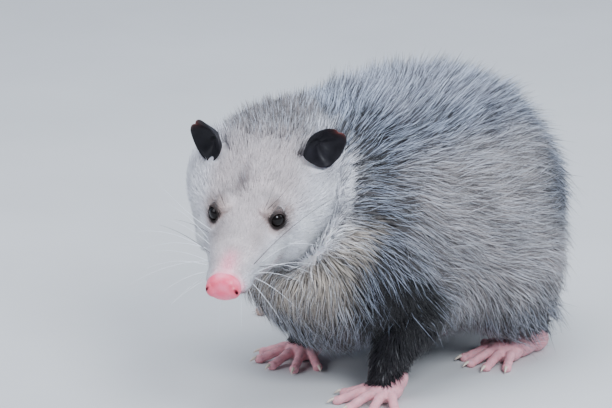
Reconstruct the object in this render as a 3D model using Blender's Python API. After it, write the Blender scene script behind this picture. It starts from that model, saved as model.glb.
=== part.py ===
"""Life-size still model of an adult Virginia opossum, standing low with its head turned to its left.

Sizes are in millimetres and become metres where a mesh is made. The animal's own axes are x to its
left, y towards its tail and z up, with the floor at z = 0 and x = y = 0 midway between the fore feet.
The last step moves everything so that the origin is under the middle of the whole model.
"""

import math
import random

import bmesh
import bpy
import numpy as np
from mathutils import Matrix, Vector
from mathutils.bvhtree import BVHTree

MM = 0.001
GAP = 0.3

# Head: where it is carried, and its main sizes.
EYE_LINE = np.array([16.0, -102.0, 140.0])
HEAD_YAW, HEAD_PITCH, HEAD_ROLL = 31.0, 17.0, 2.5
EYE_SPACING, EYE_RADIUS, EYE_SET_BACK = 37.0, 6.3, 3.0
EYE_YAW, EYE_RISE = 42.0, 10.0
LID_WALL = 1.1
LID_OPENING_LONG, LID_OPENING_HIGH = 5.2, 4.7
NOSE_FORWARD, NOSE_DROP = 60.0, 14.0
NOSE_WIDTH, NOSE_HEIGHT, NOSE_DEPTH = 23.0, 18.5, 15.0
MOUTH_LIP_RADIUS, MOUTH_GROOVE_RADIUS = 1.5, 0.9
HEAD_BACK = -90.0
EAR_SPACING, EAR_BACK, EAR_UP = 70.0, 48.0, 12.5
EAR_LENGTH, EAR_WIDTH, EAR_WALL, EAR_CUP = 30.0, 31.0, 1.3, 9.5

# Torso: the neck's cut and the coat's depth.
NECK_CUT_Y = 6.0
CORE_SHARE = 0.5
BOXY_FLANKS = 2.9

# Legs.
FORE_STANCE, FORE_STAGGER = 51.0, 13.0
HIND_STANCE, HIND_FOOT_Y = 49.0, 127.0
FORE_FOOT_Y = -8.0
WRIST_CUT, ANKLE_CUT = 21.0, 21.0
TOE_RADIUS = 3.4
CLAW_LENGTH, CLAW_RADIUS = 5.0, 1.1
SOLE_FLAT = 0.6

# Coat locks. Each leaves the core, lies along it and rises to the coat's surface at its tip.
# A section is a share of the length, then the shares of the width and of the thickness there.
LOCK_SPACING, NECK_LOCK_SPACING = 22.0, 17.5
LOCK_LENGTH, LOCK_WIDTH, LOCK_THICKNESS = 50.0, 25.0, 4.2
LOCK_SINK, LOCK_RISE = 5.0, 15.5
LOCK_SECTIONS = ((0.0, 0.90, 1.0), (0.30, 1.0, 0.95), (0.60, 0.80, 0.75), (0.83, 0.45, 0.5))
LOCK_CLEARANCE = 0.45
LOCK_UNDERSIDE = -0.85
LOCK_SHIFTS = (0.0, 9.0, -9.0, 17.0)
# Shares of the length, rise and width tried at a root, longest first.
LOCK_TRIALS = (
    (1.0, 1.0, 1.0),
    (1.0, 1.3, 1.0),
    (0.8, 1.3, 0.9),
    (0.8, 0.9, 0.75),
    (0.65, 1.2, 0.8),
    (0.65, 0.8, 0.65),
    (0.5, 1.1, 0.7),
    (0.5, 0.7, 0.5),
    (0.36, 0.8, 0.45),
)
RUFF_REACH = 30.0
ERECT_BACK = 0.75
SEED = 11

COLOURS = {
    "white_fur": ((0.72, 0.68, 0.64), 0.9),
    "grey_fur": ((0.42, 0.39, 0.37), 0.9),
    "black_fur": ((0.03, 0.028, 0.03), 0.85),
    "pink_skin": ((0.78, 0.36, 0.38), 0.55),
    "ear_skin": ((0.015, 0.015, 0.02), 0.5),
    "eye": ((0.005, 0.004, 0.004), 0.08),
    "dark_tail": ((0.05, 0.045, 0.045), 0.7),
    "pale_tail": ((0.62, 0.46, 0.42), 0.65),
}


def clear_scene():
    for obj in list(bpy.data.objects):
        bpy.data.objects.remove(obj, do_unlink=True)


def finish_of(slot):
    """The material of a slot, made once."""
    found = bpy.data.materials.get(slot)
    if found:
        return found
    made = bpy.data.materials.new(slot)
    made.use_nodes = True
    colour, roughness = COLOURS[slot]
    shader = made.node_tree.nodes["Principled BSDF"]
    shader.inputs["Base Color"].default_value = (*colour, 1.0)
    shader.inputs["Roughness"].default_value = roughness
    shader.inputs["Metallic"].default_value = 0.0
    return made


def solid(name, shells, slot=None):
    """One object from (points, faces) shells in millimetres."""
    points, faces, first = [], [], 0
    for shell_points, shell_faces in shells:
        points.extend(tuple(float(v) * MM for v in p) for p in shell_points)
        faces.extend(tuple(first + i for i in f) for f in shell_faces)
        first += len(shell_points)
    mesh = bpy.data.meshes.new(name)
    mesh.from_pydata(points, [], faces)
    mesh.validate()
    obj = bpy.data.objects.new(name, mesh)
    bpy.context.scene.collection.objects.link(obj)
    if slot:
        mesh.materials.append(finish_of(slot))
    return obj


def apply_modifiers(obj):
    """Turns the evaluated mesh into the object's own."""
    graph = bpy.context.evaluated_depsgraph_get()
    mesh = bpy.data.meshes.new_from_object(obj.evaluated_get(graph))
    obj.modifiers.clear()
    obj.data = mesh
    return obj


def remove(*objects):
    for obj in objects:
        bpy.data.objects.remove(obj, do_unlink=True)


def count_triangles(obj):
    obj.data.calc_loop_triangles()
    return len(obj.data.loop_triangles)


def fuse(name, shells, voxel, smoothing, triangles, slot):
    """Melts overlapping shells into one smooth skin of about that many triangles."""
    obj = solid(name, shells)
    remesh = obj.modifiers.new("melt", "REMESH")
    remesh.mode = "VOXEL"
    remesh.voxel_size = voxel * MM
    smooth = obj.modifiers.new("smooth", "SMOOTH")
    smooth.factor = 0.5
    smooth.iterations = smoothing
    apply_modifiers(obj)
    thin = obj.modifiers.new("thin", "DECIMATE")
    thin.ratio = min(1.0, triangles / count_triangles(obj))
    apply_modifiers(obj)
    obj.data.materials.clear()
    obj.data.materials.append(finish_of(slot))
    return obj


def keep_largest(obj):
    """Keeps the closed surface with the largest volume."""
    work = bmesh.new()
    work.from_mesh(obj.data)
    left = set(work.verts)
    islands = []
    while left:
        seed = left.pop()
        island, edge = {seed}, [seed]
        while edge:
            vert = edge.pop()
            for link in vert.link_edges:
                other = link.other_vert(vert)
                if other not in island:
                    island.add(other)
                    edge.append(other)
        left -= island
        islands.append(island)

    def volume(island):
        faces = {f for v in island for f in v.link_faces}
        total = 0.0
        for face in faces:
            a = face.verts[0].co
            for b, c in zip(face.verts[1:], face.verts[2:]):
                total += a.dot(b.co.cross(c.co))
        return total / 6

    islands.sort(key=volume)
    for island in islands[:-1]:
        bmesh.ops.delete(work, geom=list(island), context="VERTS")
    work.to_mesh(obj.data)
    work.free()
    return obj


def boolean(obj, cutter, operation, solver="EXACT"):
    step = obj.modifiers.new(operation.lower(), "BOOLEAN")
    step.operation = operation
    step.solver = solver
    step.object = cutter
    apply_modifiers(obj)
    remove(cutter)
    return obj


def join_all(obj, pieces, solver="MANIFOLD"):
    """One union of the object with many closed pieces."""
    group = bpy.data.collections.new("pieces")
    bpy.context.scene.collection.children.link(group)
    for piece in pieces:
        bpy.context.scene.collection.objects.unlink(piece)
        group.objects.link(piece)
    step = obj.modifiers.new("join", "BOOLEAN")
    step.operation = "UNION"
    step.solver = solver
    step.operand_type = "COLLECTION"
    step.collection = group
    apply_modifiers(obj)
    remove(*pieces)
    bpy.data.collections.remove(group)
    return keep_largest(obj)


def copy_of(obj, grow=0.0):
    """A copy, swelled along its normals."""
    twin = obj.copy()
    twin.data = obj.data.copy()
    bpy.context.scene.collection.objects.link(twin)
    if grow:
        swell = twin.modifiers.new("swell", "DISPLACE")
        swell.strength = grow * MM
        swell.mid_level = 0.0
        apply_modifiers(twin)
    return twin


def fit_against(obj, other):
    """Cuts away what lies inside the other solid, leaving the gap that touching pieces keep."""
    return keep_largest(boolean(obj, copy_of(other, GAP * 1.2), "DIFFERENCE", "MANIFOLD"))


def slice_off(obj, point, normal, offset=0.0):
    """Removes what lies on the normal's side of a plane, and closes the cut."""
    normal = Vector(normal).normalized()
    work = bmesh.new()
    work.from_mesh(obj.data)
    where = Vector(point) * MM + normal * offset * MM
    cut = bmesh.ops.bisect_plane(
        work,
        geom=work.verts[:] + work.edges[:] + work.faces[:],
        plane_co=where,
        plane_no=normal,
        clear_outer=True,
    )
    rim = [e for e in cut["geom_cut"] if isinstance(e, bmesh.types.BMEdge)]
    bmesh.ops.triangle_fill(work, edges=rim, use_beauty=True, normal=normal)
    bmesh.ops.triangulate(work, faces=work.faces[:])
    bmesh.ops.recalc_face_normals(work, faces=work.faces[:])
    work.to_mesh(obj.data)
    work.free()
    return keep_largest(obj)


def resample(rows, count):
    """Rows read along a smooth curve through all of them, at even steps between rows."""
    rows = np.asarray(rows, float)
    padded = np.vstack([2 * rows[0] - rows[1], rows, 2 * rows[-1] - rows[-2]])
    where = np.linspace(0, len(rows) - 1, count)
    index = np.minimum(where.astype(int), len(rows) - 2)
    t = (where - index)[:, None]
    p0, p1, p2, p3 = (padded[index + k] for k in range(4))
    return 0.5 * (
        2 * p1
        + (p2 - p0) * t
        + (2 * p0 - 5 * p1 + 4 * p2 - p3) * t**2
        + (3 * p1 - p0 - 3 * p2 + p3) * t**3
    )


def loft(rows, rings, sides, up=(0, 0, 1), rounded_ends=True, boxy_below=2.0):
    """A closed tube through rows of x, y, z, half width, height above and depth below the line.

    boxy_below is 2 for an elliptic underside and more for a squarer one.
    """
    rows = resample(rows, rings)
    line = rows[:, :3]
    tangents = np.gradient(line, axis=0)
    tangents /= np.linalg.norm(tangents, axis=1)[:, None]
    side = np.cross(tangents, np.asarray(up, float))
    side /= np.linalg.norm(side, axis=1)[:, None]
    top = np.cross(side, tangents)
    angles = np.linspace(0, 2 * math.pi, sides, endpoint=False)
    wide, high = np.cos(angles), np.sin(angles)
    below = high < 0
    squareness = np.where(below, 2.0 / boxy_below, 1.0)
    wide, high = (np.sign(v) * np.abs(v) ** squareness for v in (wide, high))
    tall = np.where(high[None, :] > 0, rows[:, 4:5], rows[:, 5:6]) * high[None, :]
    ring_points = (
        line[:, None, :]
        + side[:, None, :] * (rows[:, 3:4] * wide[None, :])[:, :, None]
        + top[:, None, :] * tall[:, :, None]
    )
    points = list(ring_points.reshape(-1, 3))
    faces = []
    for ring in range(rings - 1):
        a, b = ring * sides, (ring + 1) * sides
        for k in range(sides):
            n = (k + 1) % sides
            faces.append((a + k, a + n, b + n, b + k))
    reach = 0.35 if rounded_ends else 0.0
    for ring, sign in ((0, -1), (rings - 1, 1)):
        pole = len(points)
        points.append(line[ring] + tangents[ring] * sign * reach * rows[ring, 3])
        for k in range(sides):
            n = (k + 1) % sides
            a, b = ring * sides + k, ring * sides + n
            faces.append((b, a, pole) if ring == 0 else (a, b, pole))
    return facing_out((np.array(points), faces))


def facing_out(shell):
    """The shell with its faces turned round if they point inwards."""
    points, faces = shell
    total = 0.0
    for face in faces:
        a = points[face[0]]
        for b, c in zip(face[1:], face[2:]):
            total += np.dot(a, np.cross(points[b], points[c]))
    return (points, faces) if total > 0 else (points, [f[::-1] for f in faces])


def ball(centre, radii, rings=12, sides=16, turn=None):
    """An ellipsoid. turn is a 3 by 3 array whose columns are its own axes."""
    turn = np.eye(3) if turn is None else np.asarray(turn)
    points, faces = [], []
    for ring in range(1, rings):
        polar = math.pi * ring / rings
        for k in range(sides):
            angle = 2 * math.pi * k / sides
            points.append(
                (
                    math.sin(polar) * math.cos(angle),
                    math.sin(polar) * math.sin(angle),
                    math.cos(polar),
                )
            )
    for ring in range(rings - 2):
        a, b = ring * sides, (ring + 1) * sides
        for k in range(sides):
            n = (k + 1) % sides
            faces.append((a + k, b + k, b + n, a + n))
    top, bottom = len(points), len(points) + 1
    points += [(0, 0, 1), (0, 0, -1)]
    last = (rings - 2) * sides
    for k in range(sides):
        n = (k + 1) % sides
        faces.append((top, k, n))
        faces.append((bottom, last + n, last + k))
    placed = np.array(points) * np.asarray(radii, float)
    return placed @ turn.T + np.asarray(centre, float), faces


def pipe(line, radius, sides=6):
    """A closed tube of even or tapering radius along a line of points."""
    radii = np.broadcast_to(np.asarray(radius, float), (len(line),))
    rows = [(*p, r, r, r) for p, r in zip(line, radii)]
    return loft(rows, len(rows), sides, up=(0.13, 0.21, 0.97))


def head_matrix():
    """Columns are the head's left, forward and up axes; the origin is midway between the eyes."""
    yaw, pitch, roll = (math.radians(a) for a in (HEAD_YAW, HEAD_PITCH, HEAD_ROLL))
    turn = (
        Matrix.Rotation(yaw, 3, "Z")
        @ Matrix.Rotation(pitch, 3, "X")
        @ Matrix.Rotation(roll, 3, "Y")
    )
    rest = Matrix(((1, 0, 0), (0, -1, 0), (0, 0, 1)))
    return np.array(turn @ rest)


HEAD = head_matrix()


def on_head(points):
    """Points of the head's own frame, placed on the animal."""
    return np.asarray(points, float) @ HEAD.T + EYE_LINE


def head_shell(shell):
    points, faces = shell
    return facing_out((on_head(points), faces))


def head_line(y, z, half_width, above, below):
    """A row of the head's loft, in the head's own frame."""
    return (0.0, y, z, half_width, above, below)


# The skull and muzzle at the surface of the short fur, from the snout's tip back into the neck.
HEAD_ROWS = (
    head_line(61, -15.0, 8.0, 7.5, 7.0),
    head_line(55, -15.0, 10.5, 9.5, 8.5),
    head_line(46, -15.0, 13.5, 12.5, 11.0),
    head_line(34, -15.5, 17.5, 16.0, 13.5),
    head_line(20, -16.0, 22.5, 20.5, 17.0),
    head_line(6, -16.5, 28.0, 24.5, 22.0),
    head_line(-4, -17.0, 33.5, 28.0, 26.0),
    head_line(-14, -17.0, 40.0, 32.0, 30.0),
    head_line(-26, -16.0, 46.5, 36.0, 34.0),
    head_line(-42, -14.0, 53.0, 40.0, 38.0),
    head_line(-58, -12.0, 57.5, 42.0, 42.0),
    head_line(-72, -11.0, 59.0, 42.0, 44.0),
    head_line(-88, -10.0, 54.0, 38.0, 40.0),
    head_line(-104, -8.0, 42.0, 30.0, 34.0),
)

# Paired fullnesses of the face, cheek, muzzle pad and brow: centre on the left side, and radii.
FACE_FORMS = (
    ((23.0, -19.0, -23.0), (18.5, 28.0, 16.5)),
    ((8.5, 43.0, -17.5), (7.5, 14.0, 8.0)),
    ((13.5, -6.0, 6.0), (8.5, 12.0, 6.5)),
)
JAW_FORM = ((0.0, 27.0, -25.5), (10.5, 26.0, 7.5))


def mirrored(point, side):
    return (side * point[0], point[1], point[2])


def eye_centre(side):
    return (side * EYE_SPACING / 2, -EYE_SET_BACK, 0.0)


def eye_axes(side):
    """Columns are the eye's across, lid-to-lid and outward axes in the head's frame."""
    yaw, rise = math.radians(EYE_YAW), math.radians(EYE_RISE)
    outward = np.array(
        (side * math.sin(yaw) * math.cos(rise), math.cos(yaw) * math.cos(rise), math.sin(rise))
    )
    across = np.cross((0, 0, 1), outward)
    across /= np.linalg.norm(across)
    return np.column_stack([across, np.cross(outward, across), outward])


def eye_ball(side, radius):
    return head_shell(ball(eye_centre(side), [radius] * 3, 8, 12, eye_axes(side)))


def lid_opening(side):
    """A short elliptic cone from the eye's middle outwards, which parts the lids."""
    axes, centre = eye_axes(side), np.array(eye_centre(side))
    rows = []
    for out, share in ((1.0, 0.62), (EYE_RADIUS, 1.0), (EYE_RADIUS + 9.0, 1.5)):
        at = centre + axes[:, 2] * out
        high = LID_OPENING_HIGH * share
        rows.append((*at, LID_OPENING_LONG * share, high, high))
    return head_shell(loft(rows, 3, 18, up=axes[:, 1], rounded_ends=False))


# A nostril: a slit down the side of the pad that turns inwards. Offsets from the pad's middle, radius.
NOSTRIL = (
    (8.0, 8.0, 3.4, 0.8),
    (9.2, 6.4, 1.6, 1.2),
    (9.2, 5.6, -0.6, 1.6),
    (7.4, 3.6, -1.6, 1.4),
    (5.0, 0.4, -1.2, 1.0),
)


def nose_pad():
    centre = (0.0, NOSE_FORWARD, -NOSE_DROP)
    pad = ball(centre, (NOSE_WIDTH / 2, NOSE_DEPTH / 2, NOSE_HEIGHT / 2), 14, 20)
    wings = []
    for side in (1, -1):
        at = (side * NOSE_WIDTH * 0.27, NOSE_FORWARD + 0.8, -NOSE_DROP - 0.8)
        wings.append(ball(at, (5.4, 6.6, 6.0), 12, 14))
    nose = fuse("nose", [head_shell(s) for s in [pad, *wings]], 0.9, 3, 260, "pink_skin")
    for side in (1, -1):
        path = [(side * x, NOSE_FORWARD + y, -NOSE_DROP + z) for x, y, z, _ in NOSTRIL]
        nostril = solid("nostril", [head_shell(pipe(path, [row[3] for row in NOSTRIL], 8))])
        boolean(nose, nostril, "DIFFERENCE")
    return keep_largest(nose)


MOUTH_SIDE = (
    (0.0, 58.0, -22.5),
    (7.5, 54.0, -22.5),
    (11.5, 46.0, -23.0),
    (14.0, 36.0, -23.5),
    (16.5, 24.0, -23.5),
    (20.5, 13.0, -22.0),
    (24.0, 5.0, -20.0),
)


def surface_of(obj):
    """A tree of the object's faces, in millimetres."""
    points = [tuple(v.co / MM) for v in obj.data.vertices]
    return BVHTree.FromPolygons(points, [tuple(f.vertices) for f in obj.data.polygons])


def mouth_path(surface, count=23):
    """The line of the mouth, laid on the head from one corner round the front to the other."""
    left = [np.array(p) for p in MOUTH_SIDE]
    whole = [p * (-1, 1, 1) for p in left[:0:-1]] + left
    placed = on_head(resample(whole, count))
    return [np.array(surface.find_nearest(Vector(p))[0]) for p in placed]


def make_head():
    shells = [loft(HEAD_ROWS, 44, 30)]
    shells.append(ball(*JAW_FORM, 12, 16))
    for side in (1, -1):
        shells += [ball(mirrored(at, side), radii, 14, 18) for at, radii in FACE_FORMS]
        lid = EYE_RADIUS + GAP + LID_WALL
        shells.append(ball(eye_centre(side), [lid] * 3, 12, 16))
    head = fuse("head", [head_shell(s) for s in shells], 1.7, 9, 1560, "white_fur")
    slice_off(head, on_head((0, HEAD_BACK, 0)), -HEAD[:, 1])
    path = mouth_path(surface_of(head))
    ends = [0.7] + [1.0] * (len(path) - 2) + [0.7]
    lips = solid("lips", [pipe(path, MOUTH_LIP_RADIUS * np.array(ends), 6)])
    boolean(head, lips, "UNION", "MANIFOLD")
    outer = mouth_path(surface_of(head))
    groove = solid("groove", [pipe(outer, MOUTH_GROOVE_RADIUS, 6)])
    boolean(head, groove, "DIFFERENCE", "MANIFOLD")
    for side in (1, -1):
        socket = solid("socket", [eye_ball(side, EYE_RADIUS + GAP)])
        boolean(head, socket, "DIFFERENCE", "MANIFOLD")
        opening = solid("opening", [lid_opening(side)])
        boolean(head, opening, "DIFFERENCE", "MANIFOLD")
    return keep_largest(head)


def make_eye(side, name):
    return solid(name, [eye_ball(side, EYE_RADIUS)], "eye")


EAR_AXIS = (0.42, -0.30, 0.86)
EAR_FACING = (0.68, 0.66, 0.20)


def make_ear(side, name, head):
    """A thin cup: rings from its hollow out to its rim, on a front and a back face alike."""
    axis = np.array(mirrored(EAR_AXIS, side))
    axis /= np.linalg.norm(axis)
    facing = np.array(mirrored(EAR_FACING, side))
    facing -= axis * facing.dot(axis)
    facing /= np.linalg.norm(facing)
    across = np.cross(axis, facing)
    root = np.array((side * EAR_SPACING / 2, -EAR_BACK, EAR_UP))
    middle = root + axis * EAR_LENGTH * 0.5
    rings, sides = 4, 18
    faces_of = {}
    for layer, sign in (("front", 1), ("back", -1)):
        points = []
        for ring in range(rings):
            share = (ring + 1) / rings
            for k in range(sides):
                angle = 2 * math.pi * k / sides
                wide, high = math.cos(angle), math.sin(angle)
                narrow = 1.0 - 0.30 * max(0.0, -high)
                deep = EAR_CUP * (share**2 - 1.0) * (1.0 - 0.30 * high * share)
                wall = EAR_WALL / 2 * (1.0 - 0.35 * share)
                points.append(
                    middle
                    + across * wide * share * narrow * EAR_WIDTH / 2
                    + axis * high * share * EAR_LENGTH / 2
                    + facing * (deep + sign * wall)
                )
        points.append(middle + facing * (-EAR_CUP + sign * EAR_WALL / 2))
        faces_of[layer] = points
    points = faces_of["front"] + faces_of["back"]
    size = rings * sides + 1
    faces = []
    for k in range(sides):
        n = (k + 1) % sides
        pole = size - 1
        faces.append((pole, k, n))
        faces.append((size + pole, size + n, size + k))
        for ring in range(rings - 1):
            a, b = ring * sides, (ring + 1) * sides
            faces += [(a + k, b + k, b + n), (a + k, b + n, a + n)]
            faces += [(size + a + k, size + b + n, size + b + k)]
            faces += [(size + a + k, size + a + n, size + b + n)]
        rim = (rings - 1) * sides
        faces += [(rim + k, size + rim + k, size + rim + n), (rim + k, size + rim + n, rim + n)]
    ear = solid(name, [head_shell((np.array(points), faces))], "ear_skin")
    return fit_against(ear, head)


# Trunk: x, y, z of its line, half width, height above, depth below, and the coat's depth there.
TRUNK = (
    (-3.0, -62.0, 148.0, 38.0, 32.0, 34.0, 6.0),
    (-14.0, -43.0, 148.0, 61.0, 56.0, 60.0, 22.0),
    (-11.0, -18.0, 138.0, 70.0, 69.0, 84.0, 26.0),
    (-4.0, 14.0, 124.0, 77.0, 80.0, 98.0, 28.0),
    (0.0, 48.0, 116.0, 80.0, 85.0, 94.0, 28.0),
    (0.0, 84.0, 114.0, 82.0, 87.0, 93.0, 28.0),
    (0.0, 116.0, 112.0, 79.0, 80.0, 90.0, 28.0),
    (0.0, 144.0, 105.0, 67.0, 62.0, 79.0, 26.0),
    (0.0, 165.0, 99.0, 49.0, 42.0, 59.0, 22.0),
    (0.0, 178.0, 95.0, 26.0, 23.0, 31.0, 18.0),
)

# Chest, haunches and shoulders: centre, radii at the coat's surface, and the coat's depth there.
CHEST = ((0.0, -6.0, 78.0), (52.0, 42.0, 54.0), 22.0)
HAUNCH = ((47.0, 116.0, 72.0), (34.0, 44.0, 54.0), 16.0)
SHOULDER = ((47.0, 14.0, 92.0), (27.0, 34.0, 42.0), 14.0)


def make_trunk(share, head):
    """Torso and neck in one, hollowed for the head, with that share of the coat's depth taken off."""
    rows = [(x, y, z, w - c * share, a - c * share, b - c * share) for x, y, z, w, a, b, c in TRUNK]
    shells = [loft(rows, 40, 28, boxy_below=BOXY_FLANKS)]
    for side in (1, -1):
        for centre, radii, coat in (HAUNCH, SHOULDER):
            shells.append(ball(mirrored(centre, side), [r - coat * share for r in radii], 16, 20))
    centre, radii, coat = CHEST
    shells.append(ball(centre, [r - coat * share for r in radii], 16, 20))
    trunk = fuse("trunk", shells, 5.0, 6, 1050, "grey_fur")
    return fit_against(trunk, head)


def unit(vector):
    return np.asarray(vector, float) / np.linalg.norm(vector)


def lie_of_coat(point, normal, head_tree):
    """Which way the coat lies at a point, how steeply it rises and how closely it hugs the body."""
    near_head = max(0.0, 1.0 - head_tree.find_nearest(Vector(point))[3] / RUFF_REACH)
    low = np.clip((95.0 - point[2]) / 60.0, 0.0, 1.0)
    flank = 1.0 - abs(normal[2])
    rump, chest = max(0.0, normal[1]), max(0.0, -normal[1])
    way = np.array((0.0, 1.0, -0.25 * flank - 1.5 * low - 1.1 * rump - 1.2 * chest))
    way[1] -= 0.7 * low * flank + 0.6 * chest
    way += near_head * 0.8 * (-HEAD[:, 1])
    erect = max(0.0, normal[2]) ** 2
    return way, 1.0 + 0.25 * near_head + ERECT_BACK * erect, 0.85 - 0.5 * low


def lock_spine(root, normal, way, length, rise, hug, bend, core):
    """Points along a lock's middle with the surface normals beneath them."""
    steps = 12
    way = unit(way - normal * way.dot(normal))
    side = unit(np.cross(normal, way))
    surface, middle, normals = root.copy(), [], []
    for step in range(steps + 1):
        share = step / steps
        height = -LOCK_SINK + (LOCK_SINK + rise) * (1.0 - (1.0 - share) ** 1.5)
        middle.append(surface + normal * height + side * bend * share**2)
        normals.append(normal)
        ahead = surface + way * length / steps
        nearest, under = core.find_nearest(Vector(ahead))[:2]
        surface = ahead + (np.array(nearest) - ahead) * hug
        normal = unit(normal + (np.array(under) - normal) * hug)
        way = unit(way - normal * way.dot(normal))
    return np.array(middle), np.array(normals)


def lock_shell(middle, normals, width):
    """A flat, tapered, three-sided lock along its middle line."""
    last = len(middle) - 1
    along = directions(middle)
    points, faces = [], []
    for share, wide, thick in LOCK_SECTIONS:
        at = round(share * last)
        across = unit(np.cross(along[at], normals[at]))
        top = np.cross(across, along[at])
        points.append(middle[at] - across * width * wide / 2)
        points.append(middle[at] + across * width * wide / 2)
        points.append(middle[at] + top * LOCK_THICKNESS * thick)
    for ring in range(len(LOCK_SECTIONS) - 1):
        for k in range(3):
            a, b = ring * 3 + k, ring * 3 + (k + 1) % 3
            faces += [(a, b, b + 3), (a, b + 3, a + 3)]
    tip, rim = len(points), len(points) - 3
    points.append(middle[last])
    faces += [(rim + k, rim + (k + 1) % 3, tip) for k in range(3)]
    faces.append((2, 1, 0))
    return facing_out((np.array(points), faces))


def scattered_roots(obj, draw):
    """Seeded points on the object's surface, none nearer another than the spacing of its part."""
    obj.data.calc_loop_triangles()
    spots = [v.co / MM for v in obj.data.vertices]
    corners = [[np.array(spots[i]) for i in t.vertices] for t in obj.data.loop_triangles]
    areas = [np.linalg.norm(np.cross(b - a, c - a)) for a, b, c in corners]
    roots = []
    for a, b, c in draw.choices(corners, weights=areas, k=int(sum(areas) / 8.0)):
        u, v = draw.random(), draw.random()
        if u + v > 1.0:
            u, v = 1.0 - u, 1.0 - v
        point = a + (b - a) * u + (c - a) * v
        spacing = NECK_LOCK_SPACING if point[1] < NECK_CUT_Y else LOCK_SPACING
        if all(np.linalg.norm(point - other) > spacing for other, _ in roots):
            roots.append((point, unit(np.cross(b - a, c - a))))
    return roots


def grown_surface(obj):
    """A tree of the object's surface moved out by the clearance that a lock keeps."""
    twin = copy_of(obj, LOCK_CLEARANCE)
    tree = surface_of(twin)
    remove(twin)
    return tree


def is_clear(shell, neighbours):
    points, faces = shell
    if points[:, 2].min() < LOCK_CLEARANCE:
        return False
    tree = BVHTree.FromPolygons([tuple(p) for p in points], faces)
    return not any(tree.overlap(other) for other in neighbours)


def clear_lock(root, normal, core, head_tree, trees, draw):
    """The longest lock from about that root that keeps clear of every neighbour, or none."""
    length = LOCK_LENGTH * draw.uniform(0.85, 1.15)
    width = LOCK_WIDTH * draw.uniform(0.85, 1.1)
    rise = LOCK_RISE * draw.uniform(0.85, 1.15)
    bend = draw.uniform(-7.0, 7.0)
    for shift in LOCK_SHIFTS:
        way, steep, hug = lie_of_coat(root, normal, head_tree)
        if shift:
            moved, under = core.find_nearest(Vector(root + unit(way) * shift))[:2]
            start, up = np.array(moved), np.array(under)
        else:
            start, up = root, normal
        for short, lift, slim in LOCK_TRIALS:
            high = rise * lift * steep
            line = lock_spine(start, up, way, length * short, high, hug, bend * short, core)
            shell = lock_shell(*line, width * slim)
            if is_clear(shell, trees):
                return shell
    return None


def grow_locks(obj, roots, core, neighbours, head_tree, draw):
    """Adds to the object a lock at every root where one fits."""
    trees = [grown_surface(other) for other in neighbours]
    shells = [clear_lock(*root, core, head_tree, trees, draw) for root in roots]
    locks = [solid("lock", [shell]) for shell in shells if shell]
    join_all(obj, locks)


# Legs: x (left leg), y, z, half width, then how far they reach back and forward of that line.
FORELEG = (
    (41.0, 24.0, 92.0, 15.0, 17.0, 18.0),
    (50.0, 28.0, 66.0, 16.0, 18.0, 19.0),
    (52.0, 13.0, 44.0, 15.0, 15.5, 15.5),
    (50.0, -3.0, 25.0, 12.5, 13.0, 12.5),
    (50.0, -8.0, 12.0, 11.0, 12.0, 12.0),
)
HINDLEG = (
    (42.0, 114.0, 82.0, 16.0, 20.0, 20.0),
    (50.0, 106.0, 57.0, 16.0, 18.0, 18.0),
    (53.0, 124.0, 38.0, 13.0, 15.0, 14.0),
    (50.0, 142.0, 22.0, 10.5, 12.0, 11.5),
    (49.0, 145.0, 12.0, 9.5, 10.0, 10.0),
)


def make_leg(name, rows, side, shift, cut, neighbours):
    placed = [(side * x, y + shift, z, w, back, front) for x, y, z, w, back, front in rows]
    leg = fuse(name, [loft(placed, 20, 18, up=(0, 1, 0))], 2.6, 3, 200, "black_fur")
    slice_off(leg, (0, 0, cut), (0, 0, -1), -GAP / 2)
    for other in neighbours:
        fit_against(leg, other)
    return leg


def toe_shells(root, angle, length, radius, side):
    """One toe from the palm to its round pad, and the place and direction of its claw."""
    way = np.array((side * math.sin(math.radians(angle)), -math.cos(math.radians(angle)), 0.0))
    tip_radius = radius * 0.92
    line = []
    for share, height in ((0.0, 8.5), (0.4, 7.6), (0.75, 5.0), (1.0, tip_radius)):
        line.append(np.array(root) + way * length * share + (0, 0, height - SOLE_FLAT))
    sizes = [radius * 1.15, radius * 1.05, radius * 0.95, tip_radius]
    return [pipe(line, sizes, 10), ball(line[-1], [tip_radius * 1.12] * 3, 8, 10)], line[-1], way


def claw(tip, way):
    line = [
        tip + way * 1.2 + (0, 0, 1.2),
        tip + way * 3.6 + (0, 0, 1.3),
        tip + way * (2.4 + CLAW_LENGTH * 0.75) + (0, 0, -0.1),
        tip + way * (2.4 + CLAW_LENGTH) + (0, 0, -1.2),
    ]
    return pipe(line, [CLAW_RADIUS, CLAW_RADIUS, CLAW_RADIUS * 0.6, 0.2], 4)


def make_foot(name, side, at, palm, toes, cut):
    """palm: pads as (offset, radii). toes: (start offset, angle, length, has a claw)."""
    base = np.array((side * at[0], at[1], 0.0))
    shells, claws = [], []
    for offset, radii in palm:
        shells.append(ball(base + mirrored(offset, side) - (0, 0, SOLE_FLAT), radii, 12, 14))
    for offset, angle, length, has_claw in toes:
        root = base + mirrored((*offset, 0.0), side)
        pieces, tip, way = toe_shells(root, angle, length, TOE_RADIUS, side)
        shells += pieces
        if has_claw:
            claws.append(solid("claw", [claw(tip, way)]))
    foot = fuse(name, shells, 1.1, 2, 330, "pink_skin")
    slice_off(foot, (0, 0, 0), (0, 0, -1))
    slice_off(foot, (0, 0, cut), (0, 0, 1), -GAP / 2)
    return join_all(foot, claws)


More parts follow.
